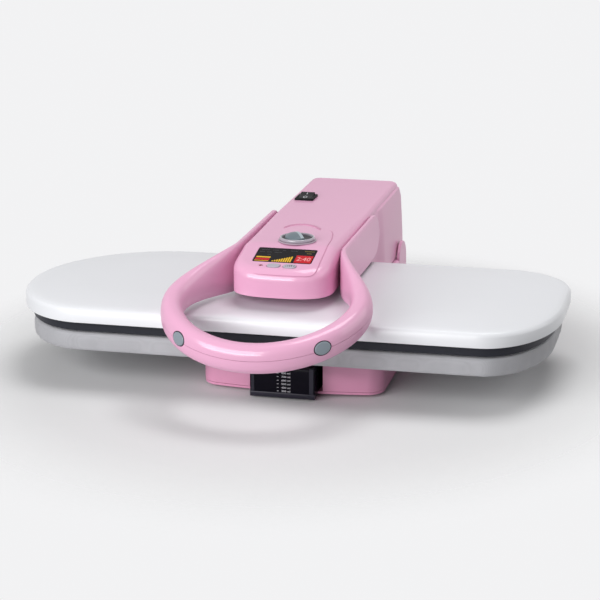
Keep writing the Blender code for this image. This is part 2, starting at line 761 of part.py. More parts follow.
def bracket_profile(grow):
    """A hinge bracket from the side: a tapered foot under a round eye."""
    radius = HINGE_BOSS_RADIUS + grow
    foot_front = HINGE_Y - HINGE_BOSS_RADIUS * 3 - grow
    foot_rear = HINGE_Y + grow
    top = HINGE_Z - COLUMN_TOP_BELOW_HINGE - COLUMN_WALL * 2
    points = [(foot_rear, FLOOR_PLATE_TOP_Z + SEAM_GAP - grow), (foot_rear, top)]
    for i in range(SMALL_SIDES // 2 + 3):
        angle = -math.pi / 3 + (math.pi * 4 / 3) * i / (SMALL_SIDES // 2 + 2)
        points.append((HINGE_Y + radius * math.cos(angle), HINGE_Z + radius * math.sin(angle)))
    points += [(foot_front, HINGE_Z - COLUMN_TOP_BELOW_HINGE - COLUMN_WALL * 3),
               (foot_front, FLOOR_PLATE_TOP_Z + SEAM_GAP - grow)]
    return points


def hinge_brackets():
    """Two steel plates that stand on the bottom plate and hold the hinge shaft."""
    made = []
    for side, name in ((-1, "hinge_bracket_left"), (1, "hinge_bracket_right")):
        low, high = bracket_span(side)
        bracket = prism(name, bracket_profile(0.0), 0, low, high, steel)
        made.append(cut(bracket, shaft_cutter(name + "_bore_cutter", HINGE_POINT, low - OVERRUN,
                                              high + OVERRUN,
                                              HINGE_SHAFT_RADIUS + SEAM_GAP)))
    return made


def shaft_cutter(name, point, low, high, radius):
    """A cutter along X through a shaft's centre."""
    return rod(name, (low, point.y, point.z), (high, point.y, point.z), radius, ROUND_SIDES, steel)


def hinge_shaft():
    """The steel shaft through both brackets."""
    reach = BRACKET_INNER_X + BRACKET_THICKNESS * 2
    return rod("hinge_shaft", HINGE_POINT - Vector((reach, 0, 0)), HINGE_POINT + Vector((reach, 0, 0)),
               HINGE_SHAFT_RADIUS, ROUND_SIDES, steel)


def print_least_gap(name, path, radius, skip):
    """Print the narrowest gap between stretches of one wire that are at least skip points apart."""
    least = min((path[i] - path[j]).length for i in range(len(path)) for j in range(i + skip, len(path)))
    print(name, "least gap to itself", round(least - 2 * radius, 5))


def lift_spring():
    """The torsion spring round the hinge shaft: one leg on the column, the other under the head's frame."""
    length = SPRING_TURNS * SPRING_PITCH
    path = []
    for i in range(SPRING_STEPS // 2, int(SPRING_TURNS * SPRING_STEPS) + 1):
        angle = math.pi / 2 + 2 * math.pi * i / SPRING_STEPS
        path.append(HINGE_POINT + Vector((SPRING_PITCH * i / SPRING_STEPS - length / 2,
                                          SPRING_COIL_RADIUS * math.cos(angle),
                                          SPRING_COIL_RADIUS * math.sin(angle))))
    low_leg = Vector((path[0].x - SPRING_WIRE_RADIUS, HINGE_Y - SPRING_COIL_RADIUS * 2,
                      HINGE_Z - COLUMN_TOP_BELOW_HINGE + SPRING_WIRE_RADIUS + SEAM_GAP))
    high_leg = Vector((path[-1].x + SPRING_WIRE_RADIUS, HINGE_Y - FRAME_REAR_REACH,
                       WEB_BOTTOM_Z - SPRING_WIRE_RADIUS - SEAM_GAP * 2))
    path = [low_leg] + path + [high_leg]
    print_least_gap("lift spring", path, SPRING_WIRE_RADIUS, SPRING_STEPS // 2)
    return tube("lift_spring", path, SPRING_WIRE_RADIUS, steel)


def bed_pan():
    """The pressed tray under the padding: a thin floor with a turned-up edge."""
    inset = RIM_INSET + COVER_THICKNESS + SEAM_GAP
    top = BED_BOTTOM_Z + PAN_HEIGHT
    return loft("bed_pan", [
        plate_ring(inset + PAN_HEIGHT / 2 + PAN_WALL, BED_BOTTOM_Z + PAN_WALL),
        plate_ring(inset + PAN_WALL, BED_BOTTOM_Z + PAN_HEIGHT / 4 + PAN_WALL),
        plate_ring(inset + PAN_WALL, top),
        plate_ring(inset, top),
        plate_ring(inset, BED_BOTTOM_Z + PAN_HEIGHT / 4),
        plate_ring(inset + PAN_HEIGHT / 2, BED_BOTTOM_Z),
    ], steel)


def bed_pad():
    """The foam and felt pad under the cover, with a slight crown."""
    inset = RIM_INSET + COVER_THICKNESS + SEAM_GAP
    low = BED_BOTTOM_Z + PAN_WALL + SEAM_GAP
    ledge = BED_BOTTOM_Z + PAN_HEIGHT + SEAM_GAP
    core = inset + PAN_HEIGHT / 2 + PAN_WALL + SEAM_GAP
    top = BED_TOP_Z - COVER_THICKNESS - SEAM_GAP
    rings = [plate_ring(core, low), plate_ring(core, ledge), plate_ring(inset, ledge)]
    return loft("bed_pad", rings + bed_crown(inset, top), cloth)


def bed_crown(inset, top):
    """Rings from the upright side to the crowned top of the padding."""
    return [plate_ring(inset + BED_HEIGHT * share, top - BED_HEIGHT * drop) for share,
            drop in BED_CROWN_SHARES]


def bed_cover():
    """The stretched cloth cover: its skirt is drawn in at the hem and its top is crowned."""
    wall = COVER_THICKNESS
    hem = BED_BOTTOM_Z + SEAM_GAP
    rings = bed_crown(RIM_INSET + wall, BED_TOP_Z - wall)[::-1]
    rings += [plate_ring(RIM_INSET + wall, hem), plate_ring(RIM_INSET + BED_HEIGHT * HEM_PULL_SHARE, hem),
              plate_ring(RIM_INSET, BED_BOTTOM_Z + BED_HEIGHT / 3)]
    return loft("bed_cover", rings + bed_crown(RIM_INSET, BED_TOP_Z), cloth)


# Tank, its tunnel, the pump and the tubes

def tank_bottom_z():
    return HOUSING_BOTTOM_Z + SEAM_GAP


def tank_top_z():
    return tunnel_top_z() - TUNNEL_WALL - TANK_TOP_CLEARANCE


def tunnel_top_z():
    return HOUSING_TOP_Z - BASE_WALL - SEAM_GAP


def tank_rear_y():
    return TANK_FRONT_Y + TANK_LENGTH


def valve_end_y():
    return tank_rear_y() + VALVE_LENGTH


def tank_tunnel():
    """The channel that guides the tank: a roof, two walls and an end wall on the bottom plate."""
    half = TANK_WIDTH / 2 + TANK_SIDE_CLEARANCE
    front = BASE_FRONT_Y + BASE_FRONT_BOW + BASE_WALL
    rear = valve_end_y() + TUNNEL_WALL
    outer = box("tank_tunnel", (TANK_X - half - TUNNEL_WALL, front, HOUSING_BOTTOM_Z),
                (TANK_X + half + TUNNEL_WALL, rear, tunnel_top_z()), grey_plastic)
    inner = box("tunnel_core_cutter", (TANK_X - half, front - OVERRUN, HOUSING_BOTTOM_Z - OVERRUN),
                (TANK_X + half, rear - TUNNEL_WALL, tunnel_top_z() - TUNNEL_WALL), grey_plastic)
    hole = rod("socket_hole_cutter", (TANK_X, rear - OVERRUN, VALVE_Z), (TANK_X, rear + OVERRUN, VALVE_Z),
               VALVE_RADIUS / 2 + SEAM_GAP, SMALL_SIDES, steel)
    return cut(outer, inner, hole)


def tank_socket():
    """The water socket in the tunnel's end wall."""
    rear = valve_end_y() + TUNNEL_WALL
    nipple = rod("tank_socket", (TANK_X, rear - TUNNEL_WALL, VALVE_Z),
                 (TANK_X, rear + VALVE_LENGTH, VALVE_Z),
                 VALVE_RADIUS / 2, SMALL_SIDES, grey_plastic)
    collar = rod("socket_collar_guide", (TANK_X, rear + SEAM_GAP, VALVE_Z),
                 (TANK_X, rear + VALVE_LENGTH / 2, VALVE_Z),
                 VALVE_RADIUS, SMALL_SIDES, grey_plastic)
    return join(nipple, collar)


def tank_body():
    """The smoked tank: a long open box with a handhold front whose lip drops below the base."""
    half = TANK_WIDTH / 2
    front = TANK_FRONT_Y
    fascia = TANK_FRONT_Y + TANK_FASCIA_LENGTH
    bottom = tank_bottom_z()
    profile = [(front, TANK_LIP_Z), (front + TANK_FASCIA_LENGTH / 3, TANK_LIP_Z),
               (fascia - TANK_WALL, bottom),
               (tank_rear_y(), bottom), (tank_rear_y(), tank_top_z()), (front + TANK_WALL, tank_top_z()),
               (front, tank_top_z() - TANK_WALL * 2), (front + TANK_WALL / 2, bottom + TANK_WALL * 3)]
    body = prism("tank_body", profile, 0, TANK_X - half, TANK_X + half, smoked)
    rounded(body, TANK_WALL / 2, 1)
    core = box("tank_core_cutter", (TANK_X - half + TANK_WALL, fascia + TANK_WALL, bottom + TANK_WALL),
               (TANK_X + half - TANK_WALL, tank_rear_y() - TANK_WALL, tank_top_z() - TANK_WALL), smoked)
    filler = rod("filler_cutter", (TANK_X, filler_y(), tank_top_z() - TANK_WALL - OVERRUN),
                 (TANK_X, filler_y(), tank_top_z() + OVERRUN), FILLER_RADIUS, ROUND_SIDES, smoked)
    valve_hole = rod("valve_hole_cutter", (TANK_X, tank_rear_y() - TANK_WALL - OVERRUN, VALVE_Z),
                     (TANK_X, tank_rear_y() + OVERRUN,
                      VALVE_Z), VALVE_RADIUS + SEAM_GAP, SMALL_SIDES, smoked)
    return cut(body, core, filler, valve_hole)


def filler_y():
    return TANK_FRONT_Y + FILLER_FROM_FRONT


def smoked(name):
    return material(name, (0.045, 0.035, 0.05), 0.08, 0.0, 0.6)


def tank_lid():
    """The filler lid: a thin disc over the hole with a plug that enters it."""
    top = tank_top_z()
    plug = FILLER_RADIUS - SEAM_GAP
    profile = [(plug, -TANK_WALL), (plug, SEAM_GAP), (FILLER_RADIUS + LID_RIM, SEAM_GAP),
               (FILLER_RADIUS + LID_RIM, SEAM_GAP + LID_THICKNESS)]
    return turned("tank_lid", profile, (TANK_X, filler_y(), top), (0, 0, 1), ROUND_SIDES, grey_plastic)


def tank_valve():
    """The outlet valve through the tank's rear wall, which meets the socket."""
    wall = tank_rear_y()
    neck = [(VALVE_RADIUS, -TANK_WALL * 2), (VALVE_RADIUS, SEAM_GAP), (VALVE_RADIUS + TANK_WALL, SEAM_GAP),
            (VALVE_RADIUS + TANK_WALL, TANK_WALL), (VALVE_RADIUS, TANK_WALL), (VALVE_RADIUS,
                                                                               VALVE_LENGTH - FIT_GAP)]
    return turned("tank_valve", neck, (TANK_X, wall, VALVE_Z), (0, 1, 0), SMALL_SIDES, slate_plastic)


def pump_room():
    """The left wall of the tunnel, and the room between it and the housing."""
    left = TANK_X - TANK_WIDTH / 2 - TANK_SIDE_CLEARANCE - TUNNEL_WALL
    return left, left - (BASE_X - BASE_WIDTH / 2 + BASE_WALL)


def pump_radius():
    """A share of the height between the bottom plate and the housing's roof."""
    return (HOUSING_TOP_Z - BASE_WALL - HOUSING_BOTTOM_Z - PUMP_FOOT) * PUMP_RADIUS_SHARE


def pump_centre():
    """The pump lies beside the tunnel on the bottom plate."""
    left, room = pump_room()
    axis_z = HOUSING_BOTTOM_Z + PUMP_FOOT + pump_radius()
    return Vector((left - room * PUMP_PLACE_SHARE, tank_rear_y(), axis_z))


def pump():
    """The vibration pump: a coil body on two rubber feet, with an inlet and an outlet nipple."""
    centre = pump_centre()
    half = PUMP_LENGTH / 2
    radius = pump_radius()
    nipple = TUBE_RADIUS
    neck = radius * PUMP_NECK_SHARE
    shoulder = half * PUMP_BODY_SHARE
    side = radius * PUMP_SADDLE_SHARE
    profile = [(nipple, -half - VALVE_LENGTH), (nipple, -half), (neck, -half),
               (neck, -shoulder), (radius, -shoulder), (radius, shoulder),
               (neck, shoulder), (neck, half), (nipple, half), (nipple, half + VALVE_LENGTH)]
    body = turned("pump", profile, centre, (0, 1, 0), SMALL_SIDES, slate_plastic)
    saddle = box("pump_saddle_guide", (centre.x - side, centre.y - half / 2, HOUSING_BOTTOM_Z),
                 (centre.x + side, centre.y + half / 2, centre.z - radius / 2), slate_plastic)
    return join(body, saddle)


def suction_tube():
    """The hose from the tank socket round to the pump's inlet."""
    centre = pump_centre()
    start = Vector((TANK_X, valve_end_y() + TUNNEL_WALL + VALVE_LENGTH + FIT_GAP, VALVE_Z))
    end = Vector((centre.x, centre.y + PUMP_LENGTH / 2 + VALVE_LENGTH + FIT_GAP, centre.z))
    bend = pump_radius()
    stops = [start, start + Vector((0, bend, 0)), start + Vector((-bend, bend * 2, 0)),
             end + Vector((bend, bend, 0)), end + Vector((0, bend / 2, 0)), end]
    return tube("suction_tube", smooth_path(stops, 4), TUBE_RADIUS, grey_plastic)


def tube_riser_y():
    """Where the pressure hose leaves the column's shoulder, in front of the hinge brackets."""
    return HINGE_Y - HINGE_BOSS_RADIUS * 5


def pressure_tube():
    """The hose from the pump's outlet under the bed and up through the column's shoulder."""
    centre = pump_centre()
    start = Vector((centre.x, centre.y - PUMP_LENGTH / 2 - VALVE_LENGTH - FIT_GAP, centre.z))
    turn = pump_radius()
    left, room = pump_room()
    aside = (centre.x - turn + left - room) / 2
    rise = tube_riser_y()
    low = HOUSING_BOTTOM_Z + TUBE_RADIUS * 4
    top = HINGE_Z - COLUMN_TOP_BELOW_HINGE
    bends = [(centre.x - turn * PUMP_BEND_SHARES[0], start.y - turn * PUMP_BEND_SHARES[1], start.z),
             (centre.x - turn * PUMP_BEND_SHARES[2], start.y - turn * PUMP_BEND_SHARES[3], start.z),
             (aside + turn * PUMP_BEND_SHARES[4], start.y - turn * PUMP_BEND_SHARES[5], start.z),
             (aside, start.y + turn * PUMP_BEND_SHARES[6], start.z),
             (aside, centre.y, start.z)]
    run = [(aside, centre.y + PUMP_LENGTH * BED_RUN_SHARES[0], low),
           (aside + turn * BED_RUN_SHARES[1], centre.y + PUMP_LENGTH * BED_RUN_SHARES[2], low),
           (aside + turn * BED_RUN_SHARES[3], COLUMN_FRONT_Y - FOOT_INSET * BED_RUN_SHARES[4], low),
           (ARM_X - turn, COLUMN_FRONT_Y - FOOT_INSET / 2, low),
           (ARM_X, COLUMN_FRONT_Y + FOOT_INSET, low),
           (ARM_X, rise - TUBE_RADIUS * 4, low + TUBE_RADIUS * 2)]
    riser = [(ARM_X, rise, low + TUBE_RADIUS * 6), (ARM_X, rise, top + TUBE_RADIUS * 3)]
    stops = [start] + [Vector(stop) for stop in bends + run + riser]
    return tube("pressure_tube", smooth_path(stops, 4), TUBE_RADIUS, grey_plastic)


def power_board():
    """The power board on its stand-off block, right of the tank."""
    left = TANK_X + TANK_WIDTH / 2 + TANK_SIDE_CLEARANCE + TUNNEL_WALL + FIT_GAP * 4
    front = BASE_FRONT_Y + BASE_FRONT_BOW + BASE_CORNER + FOOT_INSET
    board = box("power_board", (left, front, HOUSING_BOTTOM_Z + PUMP_FOOT),
                (left + BOARD_DEPTH, front + BOARD_LENGTH,
                 HOUSING_BOTTOM_Z + PUMP_FOOT + BOARD_THICKNESS), board_green)
    stand = box("board_stand_guide", (left + BOARD_DEPTH / 4, front + BOARD_LENGTH / 4, HOUSING_BOTTOM_Z),
                (left + BOARD_DEPTH * 3 / 4, front + BOARD_LENGTH * 3 / 4,
                 HOUSING_BOTTOM_Z + PUMP_FOOT + BOARD_THICKNESS * 4),
                board_green)
    return join(board, stand)


# Pressing plate

def plate_shell():
    """The pearl shell over the plate: upright sides, a soft crease, a low crown and a flange on the rim."""
    wall = SHELL_WALL
    crown = SHELL_HEIGHT
    rings = [plate_ring(wall + crown * inset, SHELL_TOP_Z - wall - crown * drop)
             for inset, drop in SHELL_INSIDE_SHARES]
    rings += [
        plate_ring(wall, SHELL_BOTTOM_Z + wall),
        plate_ring(RIM_INSET + RIM_WALL, SHELL_BOTTOM_Z + wall),
        plate_ring(RIM_INSET + RIM_WALL, SHELL_BOTTOM_Z),
        plate_ring(0.0, SHELL_BOTTOM_Z),
    ]
    rings += [plate_ring(crown * inset, SHELL_TOP_Z - crown * drop) for inset, drop in SHELL_CROWN_SHARES]
    shell = loft("plate_shell", rings, pearl_plastic)
    return cut(shell, plate_hole("shell_hole_cutter", SHELL_HOLE_RADIUS, SHELL_BOTTOM_Z,
                                 SHELL_TOP_Z + OVERRUN))


def plate_rim():
    """The dark insulating rim between the hot plate and the shell."""
    return loft("plate_rim", [plate_ring(RIM_INSET + RIM_WALL, RIM_BOTTOM_Z),
                              plate_ring(RIM_INSET, RIM_BOTTOM_Z),
                              plate_ring(RIM_INSET, RIM_TOP_Z), plate_ring(RIM_INSET + RIM_WALL,
                                                                           RIM_TOP_Z)],
                slate_plastic, endless=True)


def steam_hole_places():
    """Rows of holes round the steam chamber's footprint, every other row set over by half a pitch."""
    places = []
    for row in range(STEAM_HOLE_ROWS):
        y = PLATE_Y + STEAM_HOLE_PITCH_Y * (row - (STEAM_HOLE_ROWS - 1) / 2)
        shift = STEAM_HOLE_PITCH_X / 4 if row % 2 else -STEAM_HOLE_PITCH_X / 4
        for column in range(STEAM_HOLE_COLUMNS):
            x = STEAM_HOLE_PITCH_X * (column - (STEAM_HOLE_COLUMNS - 1) / 2) + shift
            places.append((x, y))
    return places


def heating_plate():
    """The pressing plate: thick cast aluminium pierced by the steam holes, with a soft lower edge."""
    inset = RIM_INSET + RIM_WALL + FIT_GAP
    plate = loft("heating_plate", [plate_ring(inset + HEAT_FACE_DROP, HEAT_FACE_Z),
                                   plate_ring(inset, HEAT_FACE_Z + HEAT_FACE_DROP),
                                   plate_ring(inset, HEAT_TOP_Z)], aluminium)
    points = []
    faces = []
    for x, y in steam_hole_places():
        start = len(points)
        for z in (HEAT_FACE_Z - OVERRUN, HEAT_TOP_Z + OVERRUN):
            for i in range(HOLE_SIDES):
                angle = 2 * math.pi * (i + 0.5) / HOLE_SIDES
                points.append((x + STEAM_HOLE_RADIUS * math.cos(angle),
                               y + STEAM_HOLE_RADIUS * math.sin(angle), z))
        faces += [tuple(start + i for i in face) for face in strip_faces(2, HOLE_SIDES)]
        faces.append(tuple(start + i for i in range(HOLE_SIDES)))
        faces.append(tuple(start + HOLE_SIDES + i for i in range(HOLE_SIDES)))
    return cut(plate, solid("steam_hole_cutter", points, faces, steel))


def round_box_ring(half_x, half_y, corner, z):
    """A ring of a rounded rectangle on the post's axis."""
    ring = []
    for quarter, (sx, sy) in enumerate(((1, 1), (-1, 1), (-1, -1), (1, -1))):
        for i in range(CORNER_STEPS):
            angle = math.pi / 2 * (quarter + i / (CORNER_STEPS - 1))
            ring.append((sx * (half_x - corner) + corner * math.cos(angle),
                         PLATE_Y + sy * (half_y - corner) + corner * math.sin(angle), z))
    return ring


def steam_chamber():
    """The cast lid of the steam chamber, with a recess below that the holes open into."""
    half_x, half_y = CHAMBER_LENGTH / 2, CHAMBER_DEPTH / 2
    draft = CHAMBER_HEIGHT / 6
    wall = CHAMBER_HEIGHT / 4
    rings = [
        round_box_ring(half_x - wall - draft, half_y - wall - draft, CHAMBER_CORNER - wall - draft,
                       CHAMBER_TOP_Z - wall),
        round_box_ring(half_x - wall, half_y - wall, CHAMBER_CORNER - wall, CHAMBER_BOTTOM_Z),
        round_box_ring(half_x, half_y, CHAMBER_CORNER, CHAMBER_BOTTOM_Z),
        round_box_ring(half_x, half_y, CHAMBER_CORNER, CHAMBER_TOP_Z - draft),
        round_box_ring(half_x - draft, half_y - draft, CHAMBER_CORNER - draft, CHAMBER_TOP_Z),
    ]
    return loft("steam_chamber", rings, aluminium)


def heating_element():
    """The tubular heater: one loop round the chamber, open at the rear with both ends turned up."""
    half_x = CHAMBER_LENGTH / 2 + ELEMENT_MARGIN * 2
    half_y = CHAMBER_DEPTH / 2 + ELEMENT_MARGIN
    corner = CHAMBER_CORNER + ELEMENT_MARGIN
    z = HEAT_TOP_Z + SEAM_GAP + ELEMENT_RADIUS
    gap = ELEMENT_MARGIN
    path = [Vector((gap, PLATE_Y + half_y, z + ELEMENT_RADIUS * 3)),
            Vector((gap, PLATE_Y + half_y, z + ELEMENT_RADIUS)),
            Vector((gap + ELEMENT_RADIUS * 2, PLATE_Y + half_y, z))]
    for quarter, (sx, sy) in enumerate(((1, 1), (1, -1), (-1, -1), (-1, 1))):
        for i in range(6):
            angle = math.pi / 2 * (1 - quarter - i / 5)
            path.append(Vector((sx * (half_x - corner) + corner * math.cos(angle),
                                PLATE_Y + sy * (half_y - corner) + corner * math.sin(angle), z)))
    path += [Vector((-p.x, p.y, p.z)) for p in reversed(path[:3])]
    return tube("heating_element", path, ELEMENT_RADIUS, steel)


def thermal_cutout():
    """The thermal cut-out on the plate, left of the chamber."""
    x = -CHAMBER_LENGTH / 2 - ELEMENT_MARGIN
    profile = [(CUTOUT_RADIUS, 0), (CUTOUT_RADIUS, CUTOUT_HEIGHT * 2 / 3),
               (CUTOUT_RADIUS / 2, CUTOUT_HEIGHT * 2 / 3),
               (CUTOUT_RADIUS / 2, CUTOUT_HEIGHT)]
    return turned("thermal_cutout", profile, (x, PLATE_Y, HEAT_TOP_Z + SEAM_GAP), (0, 0, 1), SMALL_SIDES,
                  steel)


def plate_post():
    """The flanged post that carries the plate, bolted on the steam chamber and guided in the frame."""
    base = CHAMBER_TOP_Z + SEAM_GAP
    height = POST_TOP_Z - base
    profile = [(POST_FLANGE_RADIUS, 0), (POST_FLANGE_RADIUS, POST_FLANGE_THICKNESS),
               (POST_RADIUS, POST_FLANGE_THICKNESS),
               (POST_RADIUS, height)]
    return turned("plate_post", profile, (ARM_X, PLATE_Y, base), (0, 0, 1), ROUND_SIDES, steel)


def press_yoke():
    """The bar from the post to the eccentric, with a slotted eye that the eccentric turns in."""
    eye_y = PIVOT_Y - ECCENTRICITY
    eye = ECCENTRIC_RADIUS + FIT_GAP + FRAME_THICKNESS
    low, high = ARM_X - YOKE_WIDTH / 2, ARM_X + YOKE_WIDTH / 2
    bar_low, bar_high = YOKE_BOTTOM_Z, YOKE_BOTTOM_Z + YOKE_BAR_HEIGHT
    start = PLATE_Y - POST_RADIUS
    meet_high = math.pi - math.asin((bar_high - PIVOT_Z) / eye)
    meet_low = math.asin((PIVOT_Z - bar_low) / eye) - math.pi
    outline = [(start, bar_low), (start, bar_high)]
    for i in range(SMALL_SIDES + 1):
        angle = meet_high + (meet_low - meet_high) * i / SMALL_SIDES
        outline.append((eye_y + eye * math.cos(angle), PIVOT_Z + eye * math.sin(angle)))
    bar = prism("press_yoke", outline, 0, low, high, steel)
    slot = []
    reach = ECCENTRIC_RADIUS + FIT_GAP
    for side in (-1, 1):
        for i in range(SMALL_SIDES // 2 + 1):
            angle = side * math.pi / 2 - math.pi * i / (SMALL_SIDES // 2)
            slot.append((eye_y + side * ECCENTRICITY / 4 + reach * math.cos(angle),
                         PIVOT_Z + reach * math.sin(angle)))
    return cut(bar, prism("yoke_slot_cutter", slot, 0, low - OVERRUN, high + OVERRUN, steel))


# Head

def head_top(y):
    """The height of the head's top: level at the rear, and tilted down where the panel is."""
    return HEAD_TOP_Z - max(0.0, PANEL_BREAK_Y - y) * math.tan(PANEL_TILT)


def hood_flare(y):
    """How far the hood's sides have swung out at a place along the head."""
    return HOOD_FLARE * smooth_share((y - HOOD_FRONT_Y - HOOD_STEP) / HOOD_FLARE_LENGTH)


def edge_round(y):
    """The radius along the head's top edge: large at the nose and the panel, smaller at the hood."""
    share = smooth_share((y - PANEL_BREAK_Y) / (HOOD_FRONT_Y - PANEL_BREAK_Y))
    return HEAD_NOSE_ROUND + (HEAD_EDGE_ROUND - HEAD_NOSE_ROUND) * share


def head_half_outline(wall, turn=0.0, lean=0.0):
    """The right half of the head seen from above, from the nose's middle to the rear's middle.

    The outline lies inside the outer face by the wall, and by the share turn of the edge's round.
    lean is the share of the hood's flare at this level: none at the top, all at the lower edge."""
    half = HEAD_HALF - wall - HEAD_NOSE_ROUND * turn
    centre_y = HEAD_FRONT_Y + HEAD_NOSE_LENGTH
    depth = HEAD_NOSE_LENGTH - wall * NOSE_INSET_SHARE - HEAD_NOSE_ROUND * turn
    power = 2 / HEAD_NOSE_POWER
    points = []
    for i in range(CORNER_STEPS + 1):
        angle = math.pi / 2 * i / CORNER_STEPS
        points.append((half * math.sin(angle) ** power, centre_y - depth * math.cos(angle) ** power))
    points[0] = (0.0, centre_y - depth)
    points[-1] = (half, centre_y)
    length = HOOD_FRONT_Y - PANEL_BREAK_Y
    for share in THIRDS_SHARES:
        y = PANEL_BREAK_Y + length * share
        points.append((HEAD_HALF - wall - edge_round(y) * turn, y))
    half = HEAD_HALF - wall - HEAD_EDGE_ROUND * turn
    for share in THIRDS_SHARES:
        y = HOOD_FRONT_Y + HOOD_STEP + HOOD_FLARE_LENGTH * share
        points.append((half + hood_flare(y) * lean, y))
    corner = HEAD_REAR_CORNER - wall - HEAD_EDGE_ROUND * turn
    wide = half + HOOD_FLARE * lean
    for i in range(4):
        angle = math.pi / 2 * i / 3
        points.append((wide - corner + corner * math.cos(angle),
                       REAR_Y - HEAD_REAR_CORNER + corner * math.sin(angle)))
    points.append((0.0, REAR_Y - HEAD_REAR_CORNER + corner))
    return points


def head_ring(wall, turn, height, lean=0.0):
    """A closed ring round the head: height is a function of y."""
    right = head_half_outline(wall, turn, lean)
    left = [(-x, y) for x, y in reversed(right[1:-1])]
    return [(ARM_X + x, y, height(y)) for x, y in right + left]


def head_skirt(y):
    """The lower edge of the head: level over the plate, deeper at the hood round the hinge."""
    return HOOD_BOTTOM_Z if y > HOOD_FRONT_Y + HOOD_STEP / 2 else HEAD_BOTTOM_Z


def panel_place(x, y):
    """A frame on the head's top surface at a point, with its Z square to the surface."""
    tilt = PANEL_TILT if y < PANEL_BREAK_Y else 0.0
    return Matrix.Translation((ARM_X + x, y, head_top(y))) @ Matrix.Rotation(tilt, 4, "X")


def placed(piece, matrix):
    """Move a piece that was modelled round zero to its place."""
    piece.data.transform(matrix)
    return piece


def pill(name, width, depth, low, high, finish, sides=SMALL_SIDES):
    """An oval button blank with straight sides."""
    outline = []
    straight = (width - depth) / 2
    for i in range(sides + 2):
        side = 1 if i <= sides // 2 else -1
        step = i if i <= sides // 2 else i - 1
        angle = -math.pi / 2 + 2 * math.pi * step / sides
        outline.append((side * straight + depth / 2 * math.cos(angle), depth / 2 * math.sin(angle)))
    return prism(name, outline, 2, low, high, finish)


def head_housing():
    """The long moulded head: a hollow shell open below, rounded along its top and at its nose."""
    wall = HEAD_WALL

    def lowered(drop, share=0.0):
        return lambda y: head_top(y) - drop - edge_round(y) * share

    rings = [head_ring(wall, turn, lowered(wall, 1.0 - turn)) for turn in (1.0, 0.0)]
    rings.insert(1, head_ring(wall, HEAD_INNER_SHARE, lowered(wall, HEAD_INNER_SHARE)))
    rings += [head_ring(wall, 0.0, lowered(HEAD_MIDDLE_DROP), MIDDLE_LEAN_SHARE),
              head_ring(wall, 0.0, head_skirt, 1.0), head_ring(0.0, 0.0, head_skirt, 1.0),
              head_ring(0.0, 0.0, lowered(HEAD_MIDDLE_DROP), MIDDLE_LEAN_SHARE)]
    rings += [head_ring(0.0, turn, lowered(0.0, drop)) for turn, drop in HEAD_EDGE_SHARES]
    housing = loft("head_housing", rings, pink_plastic, mirrored_caps=True)
    deep = HEAD_WALL * 3
    window = placed(box("display_cutter", (-DISPLAY_WIDTH / 2 - SEAM_GAP, -DISPLAY_DEPTH / 2 - SEAM_GAP,
                                           -deep),
                        (DISPLAY_WIDTH / 2 + SEAM_GAP, DISPLAY_DEPTH / 2 + SEAM_GAP, deep), black_plastic),
                    panel_place(0.0, DISPLAY_Y))
    cut(housing, window)
    for name, x in (("key_left", KEY_LEFT_X), ("key_right", KEY_RIGHT_X)):
        hole = pill(name + "_hole_cutter", KEY_WIDTH + FIT_GAP * 2, KEY_DEPTH + FIT_GAP * 2, -deep, deep,
                    black_plastic)
        cut(housing, placed(hole, panel_place(x, KEY_Y)))
    lamp = turned("lamp_hole_cutter", [(LAMP_RADIUS + SEAM_GAP, -deep), (LAMP_RADIUS + SEAM_GAP, deep)],
                  (0, 0, 0), (0, 0, 1),
                  SMALL_SIDES, black_plastic)
    knob = turned("knob_hole_cutter", [(KNOB_SHAFT_RADIUS * 2, -deep), (KNOB_SHAFT_RADIUS * 2, deep)],
                  (0, 0, 0), (0, 0, 1),
                  SMALL_SIDES, black_plastic)
    switch = placed(box("switch_hole_cutter", (-ROCKER_WIDTH / 2 - ROCKER_BEZEL / 2,
                                               -ROCKER_DEPTH / 2 - ROCKER_BEZEL / 2, -deep),
                        (ROCKER_WIDTH / 2 + ROCKER_BEZEL / 2, ROCKER_DEPTH / 2 + ROCKER_BEZEL / 2,
                         deep), black_plastic),
                    panel_place(ROCKER_X, ROCKER_Y))
    cut(housing, placed(lamp, panel_place(LAMP_X, KEY_Y)), placed(knob, panel_place(KNOB_SET_RIGHT, KNOB_Y)),
        switch)
    bore = shaft_cutter("bush_hole_cutter", PIVOT_POINT, ARM_X - HEAD_HALF - OVERRUN,
                        ARM_X + HEAD_HALF + OVERRUN,
                        BUSH_RADIUS + SEAM_GAP)
    return cut(housing, bore)


def head_underside():
    """The cover under the head, turned down at the rear as an apron in front of the hinge."""
    inset = HEAD_WALL + FIT_GAP
    limit = HOOD_FRONT_Y - FIT_GAP
    right = [(x, y) for x, y in head_half_outline(inset) if y < limit]
    right.append((HEAD_HALF - inset, limit))
    outline = right + [(-x, y) for x, y in reversed(right[1:])]
    outline = [(ARM_X + x, y) for x, y in outline]
    top = HEAD_BOTTOM_Z + UNDERSIDE_THICKNESS
    cover = prism("head_underside", outline, 2, HEAD_BOTTOM_Z, top, pink_plastic)
    apron = box("apron_guide", (ARM_X - HEAD_HALF + inset, limit - UNDERSIDE_THICKNESS, HOOD_BOTTOM_Z),
                (ARM_X + HEAD_HALF - inset, limit, top), pink_plastic)
    join(cover, apron)
    return cut(cover, plate_hole("underside_hole_cutter", SHELL_HOLE_RADIUS, HEAD_BOTTOM_Z - OVERRUN,
                                 top + OVERRUN))


